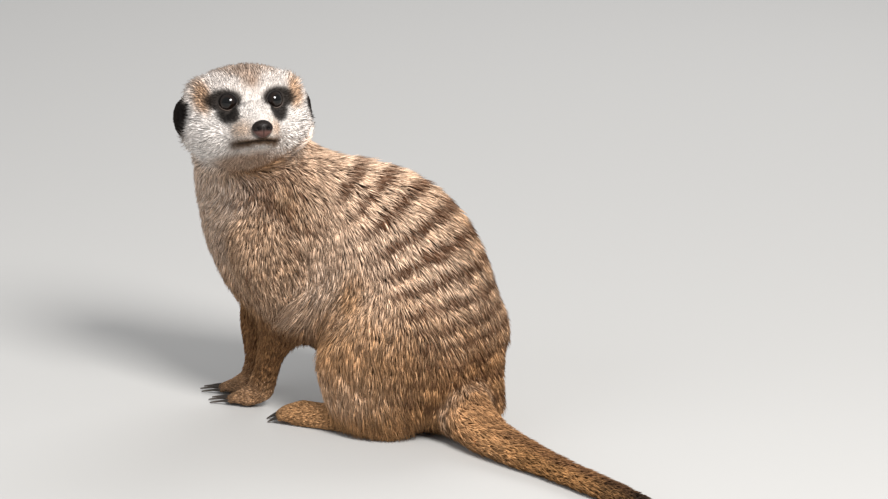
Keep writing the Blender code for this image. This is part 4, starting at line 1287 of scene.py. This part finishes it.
class MEERKAT_OT_coat(bpy.types.Operator):
    """Grows the coat on the skin, in a piece for each part of the body"""

    bl_idname = "meerkat.coat"
    bl_label = "Coat"

    def execute(self, context):
        settings = context.scene.meerkat
        mesh = bpy.data.objects["skin"].data
        surface = Surface(mesh)
        names = (*SIZE_NAMES, "Lie", *MASKS)
        skin = {name: stored(mesh, name) for name in names}
        nearest = [FLESH[int(index)] for index in stored(mesh, "Nearest")]
        normals, tree = surface.normals(), surface.tree()
        regions = coat_region(nearest, in_head(surface.places), surface.places)[surface.triangles[:, 0]]
        need = surface.areas(surface.triangles) * skin["Density"][surface.triangles].mean(axis=1)
        material = coat_material()
        slots = {"face": "coat_head", "crown": "coat_head", "tail": "coat_tail"}
        for number, region in enumerate(sorted(set(regions))):
            own = regions == region
            count = int(settings.tufts * need[own].sum() / need.sum())
            coat = coat_of(skin, surface, normals, tree, region, surface.triangles[own], count,
                           settings.seed * 100 + number)
            slot = slots.get(region, "coat_legs" if "leg" in region or "thigh" in region else "coat_body")
            keep(link(f"coat_{region}", coat), slot, material)
        return {"FINISHED"}


class MEERKAT_OT_eyes(bpy.types.Operator):
    """Makes each eye with its bulging cornea, and the lids round it"""

    bl_idname = "meerkat.eyes"
    bl_label = "Eyes and lids"

    def execute(self, context):
        eye_look, lid_look, radius = eye_material(), lid_material(), eye_radius()
        for name, side in SIDES.items():
            centre, out, sideways, up = eye_axes(side)
            shape = bmesh.new()
            bmesh.ops.create_uvsphere(shape, u_segments=48, v_segments=32, radius=1)
            mesh = written(shape, f"eyeball_{name}")
            ways = np.array([vertex.co[:] for vertex in mesh.vertices])
            turn = np.arccos(np.clip(ways[:, 2], -1, 1))
            bulge = radius * (1 + CORNEA_HEIGHT * np.exp(-((turn / CORNEA_WIDTH) ** 2)))
            heads = centre + (ways @ np.array((sideways, up, out))) * bulge[:, None]
            with_places(mesh, from_head(heads))
            store(mesh, "Middle", turn / (math.pi / 2))
            ball = link(f"eyeball_{name}", faced_out(mesh))
            keep(ball, "eye", eye_look, f"eye_{name}")
            keep(link(f"eyelids_{name}", lids(side, radius)), "coat_head", lid_look)
        return {"FINISHED"}


def faced_out(mesh):
    shape = bmesh.new()
    shape.from_mesh(mesh)
    bmesh.ops.recalc_face_normals(shape, faces=shape.faces)
    return written(shape, mesh)


def lids(side, radius):
    """A ring of skin round the opening of an eye, its lower rim lightened as a painted catch light."""
    centre, out, sideways, up = eye_axes(side)
    angles = np.arange(LID_STEPS) / LID_STEPS * 2 * math.pi
    rows, edges = [], []
    for more, height in LID_PROFILE:
        tilt = np.radians(opening(angles) + more)[:, None]
        round_about = np.cos(angles)[:, None] * sideways + np.sin(angles)[:, None] * up
        rows.append(centre + (out * np.cos(tilt) + round_about * np.sin(tilt)) * (radius + height))
        # Marks the lower rim of the opening, lightened as a painted catch light.
        edges.append(float(-1.2 < more < 1 and height > 0) * ramp(-np.sin(angles), -0.1, 0.6))
    ring = np.arange(LID_STEPS)
    faces = []
    for row in range(len(rows)):
        here, there = row * LID_STEPS, (row + 1) % len(rows) * LID_STEPS
        following = (ring + 1) % LID_STEPS
        faces += np.stack([here + ring, here + following, there + following, there + ring], axis=1).tolist()
    mesh = bpy.data.meshes.new("lids")
    mesh.from_pydata(to_model(from_head(np.concatenate(rows))).tolist(), [], faces)
    store(mesh, "Catchlight", np.concatenate(edges) * 0.6)
    return faced_out(mesh)


# Middle and spread of each nostril and of the slit beside it, outward and up, in half widths of the pad.
NOSTRIL, SLIT = ((0.50, 0.02), (0.19, 0.22)), ((0.74, -0.16), (0.16, 0.10))
NOSTRIL_DEPTH, GROOVE_DEPTH, GROOVE_WIDTH = 1.5, 0.45, 0.07
NOSE_TAPER = 0.22  # how much narrower the pad is below


class MEERKAT_OT_nose(bpy.types.Operator):
    """Makes the nose pad with its nostrils and the groove between them"""

    bl_idname = "meerkat.nose"
    bl_label = "Nose"

    def execute(self, context):
        shape = bmesh.new()
        bmesh.ops.create_icosphere(shape, subdivisions=5, radius=1)
        mesh = written(shape, "nose_pad")
        ball = np.array([vertex.co[:] for vertex in mesh.vertices])
        across, ahead, high = ball.T
        heads = ball * NOSE_HALF
        heads[:, 0] *= 1 - NOSE_TAPER * ramp(-high, -0.2, 1.0)
        front = ramp(ahead, 0.15, 0.6)
        nostril = blob(np.abs(across), high, *NOSTRIL) * front
        slit = blob(np.abs(across), high, *SLIT) * ramp(ahead, 0, 0.4)
        groove = np.exp(-((across / GROOVE_WIDTH) ** 2)) * front * ramp(-high, -0.35, 0.0)
        heads[:, 1] -= NOSTRIL_DEPTH * np.maximum(nostril, 0.6 * slit) + GROOVE_DEPTH * groove
        with_places(mesh, from_head(heads + NOSE_CENTRE))
        # The nostrils and slits are darkened: painted shade in the holes.
        store(mesh, "Nostril_shade", np.clip(np.maximum(nostril, slit * 0.8) * 1.3, 0, 1))
        store(mesh, "Pink", ramp(-high, 0.0, 0.45) * (1 - 0.6 * groove))
        keep(link("nose_pad", faced_out(mesh)), "nose", nose_material(), "nose")
        return {"FINISHED"}


PAWS = {"fore": "forepaw", "hind": "hindfoot"}
CLAW_SET = 0.22  # how much of its length a claw runs on into its toe


def set_in_toe(places, paw):
    """A claw's corners, drawn back into the toe of this paw."""
    middle = places.mean(axis=0)
    along = np.linalg.svd(places - middle, full_matrices=False)[2][0]
    along = along * np.sign((middle - paw) @ along)
    ahead = places @ along
    return places + np.outer((ahead - ahead.max()) * CLAW_SET, along)


class MEERKAT_OT_claws(bpy.types.Operator):
    """Smooths the claws of each foot"""

    bl_idname = "meerkat.claws"
    bl_label = "Claws"

    def execute(self, context):
        look = claw_material()
        for foot in FEET:
            nodes = [f"claw_{foot}_{number}" for number in range(1, CLAWS_ON_A_FOOT + 1)]
            shape = bmesh.new()
            kind, side = foot.split("_")
            paw = to_loops(centre_of(f"{PAWS[kind]}_{side}"))
            for name in nodes:
                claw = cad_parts[name].data.copy()
                with_places(claw, set_in_toe(Surface(claw).places, paw))
                shape.from_mesh(claw)
            bmesh.ops.remove_doubles(shape, verts=shape.verts, dist=WELD)
            made = link(f"claws_{foot}", written(shape, f"claws_{foot}"))
            rounding = made.modifiers.new("Round", "SUBSURF")
            rounding.levels = rounding.render_levels = 2
            mesh = applied(made)
            heights = to_loops([vertex.co[:] for vertex in mesh.vertices])[:, 2]
            store(mesh, "Tip", 1 - ramp(heights, 0.4, 2.6))
            keep(link(f"claws_{foot}", mesh), "claw", look, *nodes)
        return {"FINISHED"}


# ---- stage -----------------------------------------------------------------------------------------------

CAMERA_TARGET = (44.65, 0.0, 87.18)  # what the camera looks at, in the loops' frame
CAMERA_DISTANCE, CAMERA_RISE, CAMERA_ROLL = 1900.0, math.radians(15), math.radians(3)
VIEW_WIDTH = 421.8  # what the camera sees across, at its target
SENSOR = 36.0
LIGHTS = (  # name, way from the model, distance (m), size (m), power (W), colour
    ("key", (0.40, -0.85, 0.88), 1.6, 0.6, 46.0, (1.0, 0.98, 0.95)),
    ("fill", (-0.9, -0.8, 0.5), 1.8, 1.4, 11.0, (0.96, 0.98, 1.0)),
    ("back", (0.3, 0.9, 0.9), 1.6, 1.0, 14.0, (1.0, 1.0, 1.0)),
)
WORLD_COLOUR, WORLD_STRENGTH = (0.95, 0.96, 0.98, 1), 0.42
FLOOR_COLOUR = (0.40, 0.395, 0.387, 1)


class MEERKAT_OT_stage(bpy.types.Operator):
    """Sets the floor, the lights and the camera"""

    bl_idname = "meerkat.stage"
    bl_label = "Stage"

    def execute(self, context):
        scene = context.scene
        scene.view_settings.view_transform = "Standard"
        shape = bmesh.new()
        bmesh.ops.create_grid(shape, x_segments=1, y_segments=1, size=6)
        floor = link("floor", written(shape, "floor"))
        material, _, shader = plain_material("Floor", 0.9, 0.2)
        shader.inputs["Base Color"].default_value = FLOOR_COLOUR
        floor.data.materials.append(material)
        target = Vector(to_model(CAMERA_TARGET))
        for name, way, distance, size, power, colour in LIGHTS:
            data = bpy.data.lights.new(name, "AREA")
            data.shape, data.size, data.energy, data.color = "DISK", size, power, colour
            lamp = link(name, data)
            lamp.visible_glossy = name == "key"
            lamp.location = target + Vector(way).normalized() * distance
            lamp.rotation_euler = (target - lamp.location).to_track_quat("-Z", "Y").to_euler()
        world = bpy.data.worlds.new("Studio")
        world.use_nodes = True
        background = world.node_tree.nodes["Background"]
        background.inputs["Color"].default_value = WORLD_COLOUR
        background.inputs["Strength"].default_value = WORLD_STRENGTH
        scene.world = world
        data = bpy.data.cameras.new("camera")
        data.sensor_width = SENSOR
        data.lens = SENSOR * CAMERA_DISTANCE / VIEW_WIDTH
        data.clip_start, data.clip_end = 0.05, 50
        camera = link("camera", data)
        ahead = Vector((0, math.cos(CAMERA_RISE), -math.sin(CAMERA_RISE)))
        level, upright = Vector((1, 0, 0)), Vector((0, math.sin(CAMERA_RISE), math.cos(CAMERA_RISE)))
        side = level * math.cos(CAMERA_ROLL) + upright * math.sin(CAMERA_ROLL)
        up = upright * math.cos(CAMERA_ROLL) - level * math.sin(CAMERA_ROLL)
        turned = Matrix((side, up, -ahead)).transposed().to_4x4()
        camera.matrix_world = Matrix.Translation(target - ahead * CAMERA_DISTANCE * MM) @ turned
        scene.camera = camera
        return {"FINISHED"}


class MEERKAT_PT_panel(bpy.types.Panel):
    """The meerkat's pieces, in the order they are made"""

    bl_label = "Meerkat"
    bl_idname = "MEERKAT_PT_panel"
    bl_space_type = "VIEW_3D"
    bl_region_type = "UI"
    bl_category = "Meerkat"

    def draw(self, context):
        for name in ("grid", "tufts", "seed"):
            self.layout.prop(context.scene.meerkat, name)
        for operator in OPERATORS:
            self.layout.operator(operator.bl_idname)


OPERATORS = (
    MEERKAT_OT_skin, MEERKAT_OT_coat, MEERKAT_OT_eyes, MEERKAT_OT_nose, MEERKAT_OT_claws, MEERKAT_OT_stage,
)
CLASSES = (MeerkatSettings, *OPERATORS, MEERKAT_PT_panel)


def register():
    for kind in CLASSES:
        bpy.utils.register_class(kind)
    bpy.types.Scene.meerkat = PointerProperty(type=MeerkatSettings)


def unregister():
    del bpy.types.Scene.meerkat
    for kind in reversed(CLASSES):
        bpy.utils.unregister_class(kind)


def main():
    register()
    bpy.ops.meerkat.skin()
    bpy.ops.meerkat.coat()
    bpy.ops.meerkat.eyes()
    bpy.ops.meerkat.nose()
    bpy.ops.meerkat.claws()
    bpy.ops.meerkat.stage()


if __name__ == "__main__":
    main()
